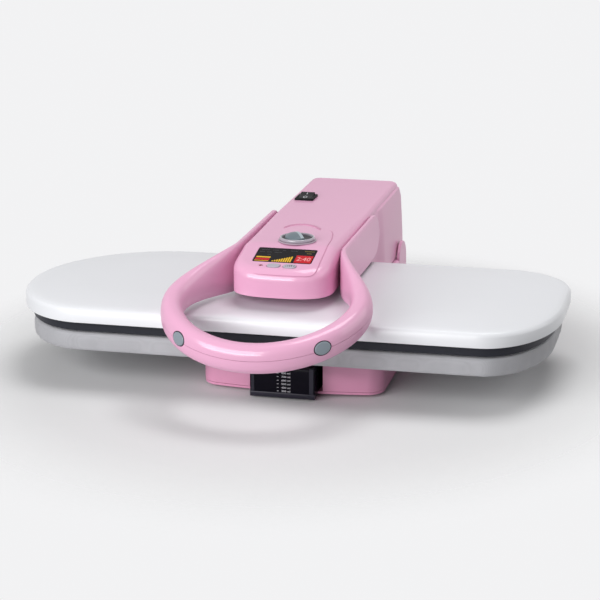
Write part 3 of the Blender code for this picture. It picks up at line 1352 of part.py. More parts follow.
def frame_side(high):
    """One side of the frame: a beam along the head that drops to a round eye at the hinge."""
    front = PLATE_Y - POST_RADIUS * 2
    bend = HINGE_Y - FRAME_REAR_REACH
    points = [(front, WEB_BOTTOM_Z), (bend, WEB_BOTTOM_Z)]
    for i in range(SMALL_SIDES // 2 + 1):
        angle = math.radians(215) + math.pi * i / (SMALL_SIDES // 2)
        points.append((HINGE_Y + HINGE_BOSS_RADIUS * math.cos(angle),
                       HINGE_Z + HINGE_BOSS_RADIUS * math.sin(angle)))
    points += [(HINGE_Y - HINGE_BOSS_RADIUS, high), (front, high)]
    return points


def head_frame():
    """The folded steel frame: a web, two sides down to the hinge shaft, and a guide for the post."""
    high = WEB_BOTTOM_Z + FRAME_HEIGHT
    half = FRAME_HALF_WIDTH
    front = PLATE_Y - POST_RADIUS * 2
    bend = HINGE_Y - FRAME_REAR_REACH
    web = box("head_frame", (ARM_X - half, front, WEB_BOTTOM_Z), (ARM_X + half, bend, WEB_TOP_Z), steel)
    left = prism("frame_left_guide", frame_side(high), 0, ARM_X - half, ARM_X - half + FRAME_THICKNESS,
                 steel)
    right = prism("frame_right_guide", frame_side(high), 0, ARM_X + half - FRAME_THICKNESS, ARM_X + half,
                  steel)
    guide = rod("post_guide_guide", (ARM_X, PLATE_Y, WEB_BOTTOM_Z + SEAM_GAP),
                (ARM_X, PLATE_Y, POST_TOP_Z - PLATE_LIFT),
                POST_RADIUS + FIT_GAP + FRAME_THICKNESS, ROUND_SIDES, steel)
    join(web, left, right, guide)
    cut(web, plate_hole("post_bore_cutter", POST_RADIUS + FIT_GAP, WEB_BOTTOM_Z - OVERRUN, high),
        shaft_cutter("frame_hinge_cutter", HINGE_POINT, ARM_X - half - OVERRUN, ARM_X + half + OVERRUN,
                     HINGE_SHAFT_RADIUS + SEAM_GAP),
        shaft_cutter("frame_pivot_cutter", PIVOT_POINT, ARM_X - half - OVERRUN, ARM_X + half + OVERRUN,
                     SHAFT_RADIUS + FIT_GAP))
    eye = ECCENTRIC_RADIUS + FRAME_THICKNESS + FIT_GAP * 2
    slot = box("eye_slot_cutter", (ARM_X - YOKE_WIDTH / 2 - FIT_GAP * 2, PIVOT_Y - ECCENTRICITY - eye,
                                   WEB_BOTTOM_Z - OVERRUN),
               (ARM_X + YOKE_WIDTH / 2 + FIT_GAP * 2, PIVOT_Y - ECCENTRICITY + eye,
                WEB_TOP_Z + OVERRUN), steel)
    riser = rod("riser_clearance_cutter", (ARM_X, tube_riser_y(), WEB_BOTTOM_Z - OVERRUN),
                (ARM_X, tube_riser_y(), WEB_TOP_Z + OVERRUN), TUBE_RADIUS * 1.35, SMALL_SIDES, steel)
    return cut(web, slot, riser)


def handle_bushes():
    """A bush in each side wall of the head for the handle's shaft."""
    made = []
    for side, name in ((-1, "handle_bush_left"), (1, "handle_bush_right")):
        outer = PIVOT_POINT + Vector((side * (HEAD_HALF + ARM_CLEARANCE / 2), 0, 0))
        inner = outer - Vector((side * BUSH_LENGTH, 0, 0))
        made.append(sleeve(name, inner, outer, BUSH_RADIUS, SHAFT_RADIUS + SEAM_GAP, ROUND_SIDES,
                           black_plastic))
    return made


def display_window():
    """The dark window of the display, flush in the panel."""
    half_x, half_y = DISPLAY_WIDTH / 2, DISPLAY_DEPTH / 2
    pane = box("display_window", (-half_x, -half_y, -DISPLAY_THICKNESS), (half_x, half_y, SEAM_GAP),
               black_plastic)
    placed(pane, panel_place(0.0, DISPLAY_Y))
    return pane


def power_lamp():
    """The small indicator lens beside the keys."""
    profile = [(LAMP_RADIUS, -HEAD_WALL * 2), (LAMP_RADIUS, 0), (LAMP_RADIUS * 0.6, LAMP_RADIUS * 0.4)]
    lens = turned("power_lamp", profile, (0, 0, 0), (0, 0, 1), SMALL_SIDES, lamp_red)
    return placed(lens, panel_place(LAMP_X, KEY_Y))


def lamp_red(name):
    return material(name, (0.55, 0.10, 0.12), 0.20)


def panel_key(name, x):
    """A sprung key: an oval cap that stands proud of the panel."""
    cap = pill(name, KEY_WIDTH, KEY_DEPTH, KEY_PROUD - KEY_HEIGHT, KEY_PROUD, grey_plastic)
    return placed(cap, panel_place(x, KEY_Y))


def knob_ring():
    """The fixed pale ring round the temperature knob."""
    surface = head_top(KNOB_Y)
    profile = [(KNOB_SHAFT_RADIUS * 2 + FIT_GAP, 0.0), (KNOB_RING_RADIUS, 0.0),
               (KNOB_RING_RADIUS, KNOB_RING_HEIGHT / 2),
               (KNOB_RING_RADIUS - KNOB_RING_HEIGHT, KNOB_RING_HEIGHT), (KNOB_SHAFT_RADIUS * 2 + FIT_GAP,
                                                                         KNOB_RING_HEIGHT)]
    rings = []
    for radius, height in profile:
        ring = []
        for i in range(ROUND_SIDES):
            angle = 2 * math.pi * i / ROUND_SIDES
            ring.append((KNOB_X + radius * math.cos(angle), KNOB_Y + radius * math.sin(angle),
                         surface + height + SEAM_GAP))
        rings.append(ring)
    return loft("knob_ring", rings, pearl_plastic, endless=True)


def temperature_knob():
    """The dial: a low drum with a raised finger bar across it, on a shaft through the panel."""
    surface = head_top(KNOB_Y) + SEAM_GAP + KNOB_RING_HEIGHT + SEAM_GAP
    edge = KNOB_HEIGHT / 5
    drop = surface - head_top(KNOB_Y) + HEAD_WALL
    profile = [(KNOB_SHAFT_RADIUS, -drop), (KNOB_SHAFT_RADIUS, 0), (KNOB_RADIUS, 0),
               (KNOB_RADIUS - edge / 2, KNOB_HEIGHT - edge),
               (KNOB_RADIUS - edge * 1.5, KNOB_HEIGHT)]
    knob = turned("temperature_knob", profile, (KNOB_X, KNOB_Y, surface), (0, 0, 1), ROUND_SIDES,
                  grey_plastic)
    reach = KNOB_RADIUS * KNOB_BAR_SHARE
    bar = box("knob_bar_guide", (-reach, -KNOB_BAR_WIDTH / 2, KNOB_HEIGHT / 2),
              (reach, KNOB_BAR_WIDTH / 2, KNOB_HEIGHT + KNOB_BAR_HEIGHT), grey_plastic)
    turn = Matrix.Rotation(KNOB_BAR_TURN, 4, "Z")
    return join(knob, placed(bar, Matrix.Translation((KNOB_X, KNOB_Y, surface)) @ turn))


def dial_pot():
    """The potentiometer under the knob, which the shaft enters."""
    top = head_top(KNOB_Y) - HEAD_WALL - SEAM_GAP
    low = board_top_z() + SEAM_GAP
    return rod("dial_pot", (KNOB_X, KNOB_Y, low), (KNOB_X, KNOB_Y, top), KNOB_SHAFT_RADIUS * 3, SMALL_SIDES,
               steel)


def board_top_z():
    return head_top(DISPLAY_Y - DISPLAY_DEPTH / 2) - HEAD_WALL - DISPLAY_THICKNESS * 2


def control_board():
    """The control board under the display and the knob, on two posts from the underside cover."""
    top = board_top_z()
    front = DISPLAY_Y - DISPLAY_DEPTH / 2
    half = HEAD_HALF - HEAD_WALL * 4
    board = box("control_board", (ARM_X - half, front, top - BOARD_THICKNESS),
                (ARM_X + half, KNOB_Y + KNOB_RADIUS, top), board_green)
    base = HEAD_BOTTOM_Z + UNDERSIDE_THICKNESS + SEAM_GAP
    for side, name in ((-1, "board_post_left_guide"), (1, "board_post_right_guide")):
        x = ARM_X + side * (half - BOARD_THICKNESS * 3)
        post = rod(name, (x, DISPLAY_Y, base), (x, DISPLAY_Y, top - BOARD_THICKNESS / 2),
                   BOARD_THICKNESS * 2,
                   SMALL_SIDES, board_green)
        join(board, post)
    return board


def power_switch():
    """The body and bezel of the mains switch in the head's top."""
    half_x, half_y = ROCKER_WIDTH / 2, ROCKER_DEPTH / 2
    rim = ROCKER_BEZEL
    bezel = box("switch_body", (-half_x - rim, -half_y - rim, SEAM_GAP), (half_x + rim, half_y + rim, rim),
                black_plastic)
    body = box("switch_body_guide", (-half_x - rim / 3, -half_y - rim / 3, -ROCKER_BODY_DEPTH),
               (half_x + rim / 3, half_y + rim / 3, rim / 2), black_plastic)
    join(bezel, body)
    well = box("switch_well_cutter", (-half_x, -half_y, -ROCKER_BODY_DEPTH / 2),
               (half_x, half_y, rim + OVERRUN), black_plastic)
    cut(bezel, well)
    matrix = panel_place(ROCKER_X, ROCKER_Y)
    for piece in (bezel, body, well):
        placed(piece, matrix)
    return bezel


def power_rocker():
    """The rocker: a shallow V whose front half is down at rest."""
    half = ROCKER_DEPTH / 2 - FIT_GAP * 3
    rise = half * math.tan(ROCKER_TILT)
    top = ROCKER_BEZEL + SEAM_GAP
    outline = [(half * reach, top + rise * height) for reach, height in ROCKER_TOP_SHARES]
    outline += [(half * reach, -ROCKER_BODY_DEPTH * depth) for reach, depth in ROCKER_UNDER_SHARES]
    width = ROCKER_WIDTH / 2 - FIT_GAP
    rocker = prism("power_rocker", outline, 0, -width, width, black_plastic)
    return placed(rocker, panel_place(ROCKER_X, ROCKER_Y))


def steam_tube():
    """The hose in the head, from over the column forward to the side of the plate's post."""
    z = WEB_TOP_Z + TUBE_RADIUS + FIT_GAP
    side = POST_RADIUS + FIT_GAP + FRAME_THICKNESS + TUBE_RADIUS + FIT_GAP * 2
    rise = tube_riser_y()
    start_z = HINGE_Z - COLUMN_TOP_BELOW_HINGE + TUBE_RADIUS * 3 + FIT_GAP
    stops = [(ARM_X, rise, start_z), (ARM_X, rise, HEAD_BOTTOM_Z), (ARM_X, rise, z),
             (ARM_X + TUBE_RADIUS, rise - TUBE_RADIUS * 3, z + TUBE_RADIUS),
             (ARM_X + side * HEAD_RUN_SHARES[0], rise - FOOT_INSET * HEAD_RUN_SHARES[1], z + FIT_GAP),
             (ARM_X + side, PIVOT_Y - FOOT_INSET * HEAD_RUN_SHARES[2], z),
             (ARM_X + side, PLATE_Y + FOOT_INSET, z), (ARM_X + side, PLATE_Y, z)]
    return tube("steam_tube", smooth_path(stops, 5), TUBE_RADIUS, grey_plastic)


# Handle

def loop_height(y):
    """The height of the handle's middle line: level along the arms, falling to the front of the loop."""
    arm_z = arm_middle_z()
    front_z = GRIP_BOTTOM_Z + GRIP_HEIGHT / 2
    front_y = -REAR_Y + GRIP_DEPTH / 2
    share = min(max((y - front_y) / (ARM_FRONT_Y - front_y), 0.0), 1.0)
    return front_z + (arm_z - front_z) * (1 - (1 - share) ** 2)


def arm_middle_z():
    return HEAD_TOP_Z - ARM_TOP_BELOW_HEAD_TOP - ARM_HEIGHT / 2


def handle_stations():
    """Places along the right half of the handle: middle point, half thickness and half height.

    The arm ends in a half circle round its pivot, lies flat along the head, swings out to the
    loop's width and closes in front in half an ellipse."""
    arm_x = HEAD_HALF + ARM_CLEARANCE + ARM_THICKNESS / 2
    half = ARM_HEIGHT / 2
    grip_x = LOOP_WIDTH / 2 - GRIP_DEPTH / 2
    front_y = -REAR_Y + GRIP_DEPTH / 2
    stations = []
    for angle in (80, 62, 42, 21):
        turn = math.radians(angle)
        stations.append((Vector((arm_x, PIVOT_Y + half * math.sin(turn), arm_middle_z())),
                         ARM_THICKNESS / 2, half * math.cos(turn)))
    plain = [PIVOT_Y, (PIVOT_Y + ARM_FRONT_Y) / 2, ARM_FRONT_Y]
    flare = [ARM_FRONT_Y + (LOOP_CENTRE_Y - ARM_FRONT_Y) * share for share in (0.17, 0.33, 0.5, 0.67, 0.83,
                                                                               1.0)]
    for y in plain + flare:
        out = smooth_share((ARM_FRONT_Y - y) / (ARM_FRONT_Y - LOOP_CENTRE_Y))
        stations.append((Vector((arm_x + (grip_x - arm_x) * out, y, loop_height(y))), *grip_size(y)))
    for i in range(1, 10):
        turn = math.pi / 2 * i / 9
        x = grip_x * math.cos(turn)
        y = LOOP_CENTRE_Y + (front_y - LOOP_CENTRE_Y) * math.sin(turn)
        stations.append((Vector((x, y, loop_height(y))), *grip_size(y)))
    return stations


def grip_size(y):
    """Half thickness and half height of the handle's section at a place along it."""
    share = smooth_share((ARM_FRONT_Y - y) / (ARM_FRONT_Y - LOOP_CENTRE_Y))
    thick = ARM_THICKNESS + (GRIP_DEPTH - ARM_THICKNESS) * share
    tall = ARM_HEIGHT + (GRIP_HEIGHT - ARM_HEIGHT) * share
    return thick / 2, tall / 2


def handle_line():
    """All stations from the right arm's end round to the left arm's end."""
    right = handle_stations()
    left = [(Vector((-p.x, p.y, p.z)), thick, tall) for p, thick, tall in reversed(right[:-1])]
    shifted = [(Vector((ARM_X + p.x, p.y, p.z)), thick, tall) for p, thick, tall in right + left]
    return shifted


def parting_level(y):
    """Where the two mouldings of the handle meet, as a share of the half height."""
    share = smooth_share((ARM_FRONT_Y - y) / (ARM_FRONT_Y - LOOP_CENTRE_Y) * 1.3)
    return ARM_PARTING_SHARE + (PARTING_SHARE - ARM_PARTING_SHARE) * share


def section_power(thick, tall):
    """Arms are flat plates with round edges, the grip is an oval."""
    flat = (tall * ARM_THICKNESS / (thick * ARM_HEIGHT) - GRIP_HEIGHT / GRIP_DEPTH / 4) * 2
    return GRIP_POWER + (ARM_POWER - GRIP_POWER) * smooth_share(flat)


def half_section(thick, tall, level, upper):
    """The part of the section above or below the parting line."""
    power = section_power(thick, tall)
    limit = math.asin(min(abs(level), 1.0) ** (power / 2)) * (1 if level > 0 else -1)
    start, end = (limit, math.pi - limit) if upper else (math.pi - limit, 2 * math.pi + limit)
    count = GRIP_SIDES if upper else GRIP_SIDES * 2 // 3
    drop = 0.0 if upper else -PARTING_GAP
    points = []
    for i in range(count):
        angle = start + (end - start) * i / (count - 1)
        c, s = math.cos(angle), math.sin(angle)
        points.append((thick * math.copysign(abs(c) ** (2 / power), c),
                       tall * math.copysign(abs(s) ** (2 / power), s) + drop))
    hollow = PARTING_GAP if upper else -PARTING_GAP * 2
    points.append((0.0, level * tall + hollow))
    return points


def button_frame(side):
    """A frame on the grip's outer face where a steam button sits: X along the loop, Z outwards."""
    wide = LOOP_WIDTH / 2 - GRIP_DEPTH / 2
    reach = -REAR_Y + GRIP_DEPTH / 2 - LOOP_CENTRE_Y
    turn = math.acos(BUTTON_X / wide)
    y = LOOP_CENTRE_Y + reach * math.sin(turn)
    slope = (loop_height(y + SEAM_GAP) - loop_height(y - SEAM_GAP)) / SEAM_GAP / 2
    along = Vector((-side * wide * math.sin(turn), reach * math.cos(turn), reach * math.cos(turn) * slope))
    along.normalize()
    out = Vector((-along.y, along.x, 0)).normalized() * side
    up = out.cross(along) if out.cross(along).z > 0 else along.cross(out)
    angle = math.atan(math.tan(BUTTON_LIFT) * GRIP_HEIGHT / GRIP_DEPTH)
    seat = Vector((ARM_X + side * BUTTON_X, y, loop_height(y)))
    seat += out * GRIP_DEPTH / 2 * math.cos(angle) + up * GRIP_HEIGHT / 2 * math.sin(angle)
    normal = out * math.cos(BUTTON_LIFT) + up * math.sin(BUTTON_LIFT)
    frame = Matrix((along, normal.cross(along), normal)).transposed().to_4x4()
    return Matrix.Translation(seat) @ frame


def on_button_seat(piece, side):
    """Stretch a round piece along the loop and put it on a button's seat."""
    return placed(piece, button_frame(side) @ Matrix.Diagonal((BUTTON_STRETCH, 1, 1, 1)))


def button_sockets():
    """Oval cutters for the sockets of both steam buttons, which the parting line crosses."""
    radius = BUTTON_RADIUS + BUTTON_RING_WIDTH + SEAM_GAP
    made = []
    for side, name in ((-1, "socket_cutter_left"), (1, "socket_cutter_right")):
        made.append(on_button_seat(rod(name, (0, 0, -BUTTON_SOCKET_DEPTH), (0, 0, GRIP_DEPTH), radius,
                                       ROUND_SIDES, steel), side))
    return made


def handle_upper():
    """The upper moulding of the handle with both arms, and a socket for each steam button."""
    line = handle_line()

    def section(i):
        point, thick, tall = line[i]
        return half_section(thick, tall, parting_level(point.y), True)

    grip = swept("handle_upper", [p for p, _, _ in line], section, pink_plastic)
    cut(grip, *button_sockets())
    reach = shaft_reach() + SEAM_GAP
    return cut(grip, shaft_cutter("arm_bore_cutter", PIVOT_POINT, ARM_X - reach, ARM_X + reach,
                                  SHAFT_RADIUS + SEAM_GAP))


def handle_lower():
    """The lower moulding, which closes the loop from below."""
    line = [station for station in handle_line() if parting_level(station[0].y) > LOWER_START_SHARE]

    def section(i):
        point, thick, tall = line[i]
        return half_section(thick, tall, parting_level(point.y), False)

    return cut(swept("handle_lower", [p for p, _, _ in line], section, pink_plastic), *button_sockets())


def shaft_reach():
    """Half the length of the handle's shaft: it ends inside the arms."""
    return HEAD_HALF + ARM_CLEARANCE + ARM_THICKNESS * 2 / 3


def cross_shaft():
    """The handle's shaft through the head, with the eccentric that lifts the plate."""
    reach = shaft_reach()
    shaft = rod("cross_shaft", PIVOT_POINT - Vector((reach, 0, 0)), PIVOT_POINT + Vector((reach, 0, 0)),
                SHAFT_RADIUS, ROUND_SIDES, steel)
    half = YOKE_WIDTH / 2 + FIT_GAP
    centre = PIVOT_POINT - Vector((0, ECCENTRICITY, 0))
    disc = rod("eccentric_guide", centre - Vector((half, 0, 0)), centre + Vector((half, 0, 0)),
               ECCENTRIC_RADIUS, ROUND_SIDES, steel)
    return join(shaft, disc)


def button_rings():
    """The dark collar that each steam button slides in."""
    made = []
    for side, name in ((-1, "button_ring_left"), (1, "button_ring_right")):
        ring = sleeve(name, (0, 0, SEAM_GAP - BUTTON_SOCKET_DEPTH), (0, 0, -BUTTON_RING_SINK),
                      BUTTON_RADIUS + BUTTON_RING_WIDTH, BUTTON_RADIUS + SEAM_GAP, ROUND_SIDES,
                      slate_plastic)
        made.append(on_button_seat(ring, side))
    return made


def steam_buttons():
    """The two sprung steam buttons: oval caps with a softly crowned face."""
    made = []
    top = BUTTON_PROUD
    for side, name in ((-1, "steam_button_left"), (1, "steam_button_right")):
        profile = [(BUTTON_RADIUS, top - BUTTON_HEIGHT), (BUTTON_RADIUS, top - BUTTON_CROWN)]
        for reach, drop in BUTTON_CROWN_SHARES:
            profile.append((BUTTON_RADIUS * reach, top - BUTTON_CROWN * drop))
        cap = turned(name, profile, (0, 0, 0), (0, 0, 1), ROUND_SIDES, grey_plastic)
        made.append(on_button_seat(cap, side))
    return made


# Assembly: the base stands still, and each moving body hangs on an empty at its joint

base_housing()
base_floor()
feet()
rear_column()
cord_gland()
hinge_brackets()
hinge_shaft()
lift_spring()
bed_pan()
bed_pad()
bed_cover()
tank_tunnel()
tank_socket()
pump()
suction_tube()
pressure_tube()
power_board()

carried_by((TANK_X, tank_rear_y(), VALVE_Z), "tank_slide_axis", tank_body(), tank_lid(), tank_valve())
head_axis = carried_by(HINGE_POINT, "head_hinge_axis", head_housing(), head_underside(), head_frame(),
                       *handle_bushes(), display_window(), power_lamp(), knob_ring(), dial_pot(),
                       control_board(), power_switch(), steam_tube())
plate_axis = carried_by((ARM_X, PLATE_Y, POST_TOP_Z), "plate_slide_axis", plate_shell(), plate_rim(),
                        heating_plate(),
                        steam_chamber(), heating_element(), thermal_cutout(), plate_post(), press_yoke())
handle_axis = carried_by(PIVOT_POINT, "handle_axis", handle_upper(), handle_lower(), cross_shaft(),
                         *button_rings())
carried_by((KNOB_X, KNOB_Y, head_top(KNOB_Y)), "knob_axis", temperature_knob())
carried_by(panel_place(KEY_LEFT_X, KEY_Y).translation, "key_left_axis", panel_key("key_left", KEY_LEFT_X))
carried_by(panel_place(KEY_RIGHT_X, KEY_Y).translation, "key_right_axis",
           panel_key("key_right", KEY_RIGHT_X))
carried_by(panel_place(ROCKER_X, ROCKER_Y).translation, "rocker_axis", power_rocker())
for number, button in enumerate(steam_buttons()):
    seat_side = -1 if number == 0 else 1
    carried_by(button_frame(seat_side).translation, button.name + "_axis", button)
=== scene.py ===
"""Steam ironing press with a padded bed, a heated plate under a hinged head, a looped handle and a
pull-out water tank. Metres, +Z up, +X along the plate to the user's right, +Y to the rear."""

import math

import bmesh
import bpy
import numpy as np
from mathutils import Matrix, Vector


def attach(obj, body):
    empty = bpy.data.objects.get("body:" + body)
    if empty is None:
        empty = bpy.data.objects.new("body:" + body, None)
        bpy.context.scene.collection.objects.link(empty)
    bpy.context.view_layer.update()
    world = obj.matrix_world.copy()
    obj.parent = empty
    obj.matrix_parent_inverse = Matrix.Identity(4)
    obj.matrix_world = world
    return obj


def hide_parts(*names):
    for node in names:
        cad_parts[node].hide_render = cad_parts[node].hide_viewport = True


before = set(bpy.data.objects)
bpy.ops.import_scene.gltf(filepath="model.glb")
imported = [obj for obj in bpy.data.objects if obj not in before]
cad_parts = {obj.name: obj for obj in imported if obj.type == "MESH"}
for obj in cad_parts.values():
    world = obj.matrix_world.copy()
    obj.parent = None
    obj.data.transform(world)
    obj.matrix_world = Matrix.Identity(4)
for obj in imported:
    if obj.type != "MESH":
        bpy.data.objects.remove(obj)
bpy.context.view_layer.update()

# Plate shell.
# A pearl white moulding over the heater, seated on the dark rim by a narrow flange. Its sides
# stand upright, turn over a soft crease and run up to a low crown that the head covers.

ARM_X = 0.006
PLATE_Y = -0.035
SHELL_LENGTH = 0.652
SHELL_DEPTH = 0.298
SIDE_BOW = 0.001
CORNER_RADII = ((1, 1, 0.080, 0.085), (-1, 1, 0.165, 0.162),
                (-1, -1, 0.100, 0.131), (1, -1, 0.083, 0.140))
SHELL_BOTTOM = 0.0828
SHELL_TOP = 0.1050
SHELL_HEIGHT = SHELL_TOP - SHELL_BOTTOM
SHELL_WALL = 0.0025
SHELL_EASE = 0.0005
SHELL_TURN = [(0.0, 0.417), (0.071, 0.294), (0.2, 0.208), (0.625, 0.125), (1.8, 0.045), (3.0, 0.0)]
POST_HOLE = 0.020
RIM_INSET = 0.0090
RIM_WALL = 0.0040
OUTLINE_POINTS = 320
CREASE = 35.0


def curve_through(stops, steps):
    """Catmull-Rom curve: between stops b and c, with neighbours a and d, the point is half of
    2b + (c - a)t + (2a - 5b + 4c - d)t^2 + (3b - a - 3c + d)t^3."""
    p = np.asarray(stops, float)
    ends = np.concatenate([[2 * p[0] - p[1]], p, [2 * p[-1] - p[-2]]])
    t = np.linspace(0, 1, steps, endpoint=False)[None, :, None]
    a, b, c, d = (ends[i:len(ends) - 3 + i][:, None, :] for i in range(4))
    points = 0.5 * (2 * b + (c - a) * t + (2 * a - 5 * b + 4 * c - d) * t ** 2
                    + (3 * b - a - 3 * c + d) * t ** 3)
    return np.concatenate([points.reshape(-1, p.shape[1]), p[-1:]])


def plate_corners(inset):
    """Four quarter ellipses of centre (sx (L/2 - rx), sy (W/2 - ry)) and radii less the inset, with
    ten points on each straight run between them, and a bow of SIDE_BOW (1 - (2x/L)^2)."""
    half = np.array([SHELL_LENGTH / 2, SHELL_DEPTH / 2 - SIDE_BOW])
    turn = np.linspace(0, math.pi / 2, 33)
    arcs = []
    for quarter, (sx, sy, rx, ry) in enumerate(CORNER_RADII):
        angle = turn + quarter * math.pi / 2
        arcs.append(np.stack([sx * (half[0] - rx) + (rx - inset) * np.cos(angle),
                              sy * (half[1] - ry) + (ry - inset) * np.sin(angle)], 1))
    runs = []
    for i, arc in enumerate(arcs):
        share = np.linspace(0, 1, 12)[1:-1, None]
        runs += [arc, arc[-1] * (1 - share) + arcs[(i + 1) % 4][0] * share]
    p = np.concatenate(runs)
    bow = SIDE_BOW * (1 - (p[:, 0] / half[0]) ** 2) * np.sign(p[:, 1])
    full = np.minimum(np.abs(p[:, 1]) / (half[1] - inset), 1.0) ** 2
    return np.stack([p[:, 0], PLATE_Y + p[:, 1] + bow * full], 1)


def plate_outline(inset):
    """The outline at an inset, with its points spaced as evenly as those of the outer one."""
    outer = plate_corners(0.0)
    steps = np.linalg.norm(np.roll(outer, -1, 0) - outer, axis=1)
    length = np.concatenate([[0], np.cumsum(steps)])
    evenly = np.arange(OUTLINE_POINTS) * length[-1] / OUTLINE_POINTS
    place = np.interp(evenly, length, np.arange(len(length)))
    ring = plate_corners(inset)
    ring = np.concatenate([ring, ring[:1]])
    return np.stack([np.interp(place, np.arange(len(ring)), ring[:, k]) for k in (0, 1)], 1)


def ring_at(outline, z):
    """An outline lifted to a height."""
    return np.column_stack([outline, np.full(len(outline), z)])


def plate_rows(section):
    """The plate's outline at each inset and height of a section."""
    return [ring_at(plate_outline(inset), z) for inset, z in section]


def placed(name, data):
    """A new object in the scene."""
    made = bpy.data.objects.new(name, data)
    bpy.context.scene.collection.objects.link(made)
    return made


def softly_shaded(mesh, crease=CREASE):
    """Smooth shading up to the crease angle."""
    mesh.shade_smooth()
    mesh.set_sharp_from_angle(angle=math.radians(crease))


def skin(name, grid, closed=False, bridged=False, crease=CREASE):
    """A mesh from a grid of points: rows of rings. closed joins the last ring to the first. Else
    the first and last rings get flat faces or, bridged, bars between their mirrored points. Doubles
    are merged and the faces turned outwards."""
    grid = np.asarray(grid, float)
    rows, columns = grid.shape[:2]
    index = np.arange(rows * columns).reshape(rows, columns)
    if closed:
        index = np.concatenate([index, index[:1]])
    beside = np.roll(index, -1, 1)
    faces = np.stack([index[:-1], beside[:-1], beside[1:], index[1:]], -1).reshape(-1, 4).tolist()
    if bridged:
        for ring in (index[0].tolist(), index[-1].tolist()):
            for k in range(columns // 2):
                faces.append(list(dict.fromkeys([ring[k], ring[k + 1], ring[-k - 1], ring[-k]])))
    elif not closed:
        faces += [index[0][::-1].tolist(), index[-1].tolist()]
    mesh = bpy.data.meshes.new(name)
    mesh.from_pydata(grid.reshape(-1, 3).tolist(), [], faces)
    work = bmesh.new()
    work.from_mesh(mesh)
    bmesh.ops.remove_doubles(work, verts=work.verts, dist=1e-6)
    bmesh.ops.dissolve_degenerate(work, edges=work.edges, dist=1e-7)
    bmesh.ops.recalc_face_normals(work, faces=work.faces)
    work.to_mesh(mesh)
    work.free()
    softly_shaded(mesh, crease)
    return placed(name, mesh)


def moved(piece, matrix):
    """Move a piece's mesh by a matrix, where there is one."""
    if matrix is not None:
        piece.data.transform(matrix)
    return piece


def quarter_round(steps):
    """Inset and rise of a quarter circle of radius 1, from its side to its top."""
    return [(1 - math.cos(a), math.sin(a)) for a in np.linspace(0, math.pi / 2, steps)]


def fitted(piece, body, finish, slot, *nodes):
    """Give a piece its material and its body, and hide the nodes it stands for. slot is not used."""
    piece.data.materials.clear()
    piece.data.materials.append(finish)
    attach(piece, body)
    if nodes:
        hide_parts(*nodes)
    return piece


def group_of(name, defaults, *outputs):
    """A shader node group, its inputs and the object's coordinates in it. The inputs have names and
    defaults, four numbers for a colour, and of the outputs only Colour is one."""
    group = bpy.data.node_groups.new(name, "ShaderNodeTree")
    for label, value in defaults.items():
        kind = "NodeSocketColor" if isinstance(value, tuple) else "NodeSocketFloat"
        group.interface.new_socket(name=label, in_out="INPUT", socket_type=kind).default_value = value
    for label in outputs:
        kind = "NodeSocketColor" if label == "Colour" else "NodeSocketFloat"
        group.interface.new_socket(name=label, in_out="OUTPUT", socket_type=kind)
    inputs = add(group, "NodeGroupInput").outputs
    return group, inputs, add(group, "TexCoord").outputs["Object"]


def add(tree, kind, inputs=(), **settings):
    """Add a node, set its fields, then link or set its inputs by name or number."""
    node = tree.nodes.new("ShaderNode" + kind if not kind.startswith("Node") else kind)
    for key, value in settings.items():
        setattr(node, key, value)
    for key, value in dict(inputs).items():
        socket = node.inputs[key]
        if isinstance(value, bpy.types.NodeSocket):
            tree.links.new(value, socket)
        else:
            socket.default_value = value
    return node


def maths(tree, operation, *values):
    """The result of a sum on numbers or sockets."""
    return add(tree, "Math", dict(enumerate(values)), operation=operation).outputs[0]


def noise(tree, place, scale, detail, **more):
    """A cloud between 0 and 1."""
    return add(tree, "TexNoise", {"Vector": place, "Scale": scale, "Detail": detail, **more}).outputs["Fac"]


def ramp(tree, value, start, end, low=0.0, high=1.0):
    """Low at the start, high at the end, and held beyond them."""
    return add(tree, "MapRange", {"Value": value, "From Min": start, "From Max": end, "To Min": low,
                                  "To Max": high}).outputs[0]


def mixed(tree, share, low, high):
    """The colour low at a share of 0 and high at 1, which are inputs 6 and 7 of the node."""
    return add(tree, "Mix", {"Factor": share, 6: low, 7: high}, data_type="RGBA").outputs[2]


def drifted(group, inputs, cloud):
    """The group's colour times 1 + (cloud - 0.5) x Drift."""
    tone = maths(group, "MULTIPLY_ADD", maths(group, "SUBTRACT", cloud, 0.5), inputs["Drift"], 1.0)
    return add(group, "VectorMath", {0: inputs["Colour"], "Scale": tone}, operation="SCALE").outputs[0]


def moulded_group():
    """Moulded plastic: a slow drift of tone, a faint cloud in the gloss and fine grain in the height."""
    group, a, place = group_of("moulded plastic", {"Colour": (0.8, 0.8, 0.8, 1), "Drift": 0.04,
                                                   "Roughness": 0.3, "Grain": 0.3, "Grain scale": 420.0},
                               "Colour", "Roughness", "Height")
    gloss = ramp(group, noise(group, place, 38.0, 5.0, Roughness=0.6), 0.3, 0.7, -0.006, 0.010)
    grain = noise(group, place, a["Grain scale"], 2.0)
    add(group, "NodeGroupOutput", {"Colour": drifted(group, a, noise(group, place, 7.0, 3.0)),
                                   "Roughness": maths(group, "ADD", a["Roughness"], gloss),
                                   "Height": maths(group, "MULTIPLY", grain, a["Grain"])})
    return group


MOULDED = moulded_group()


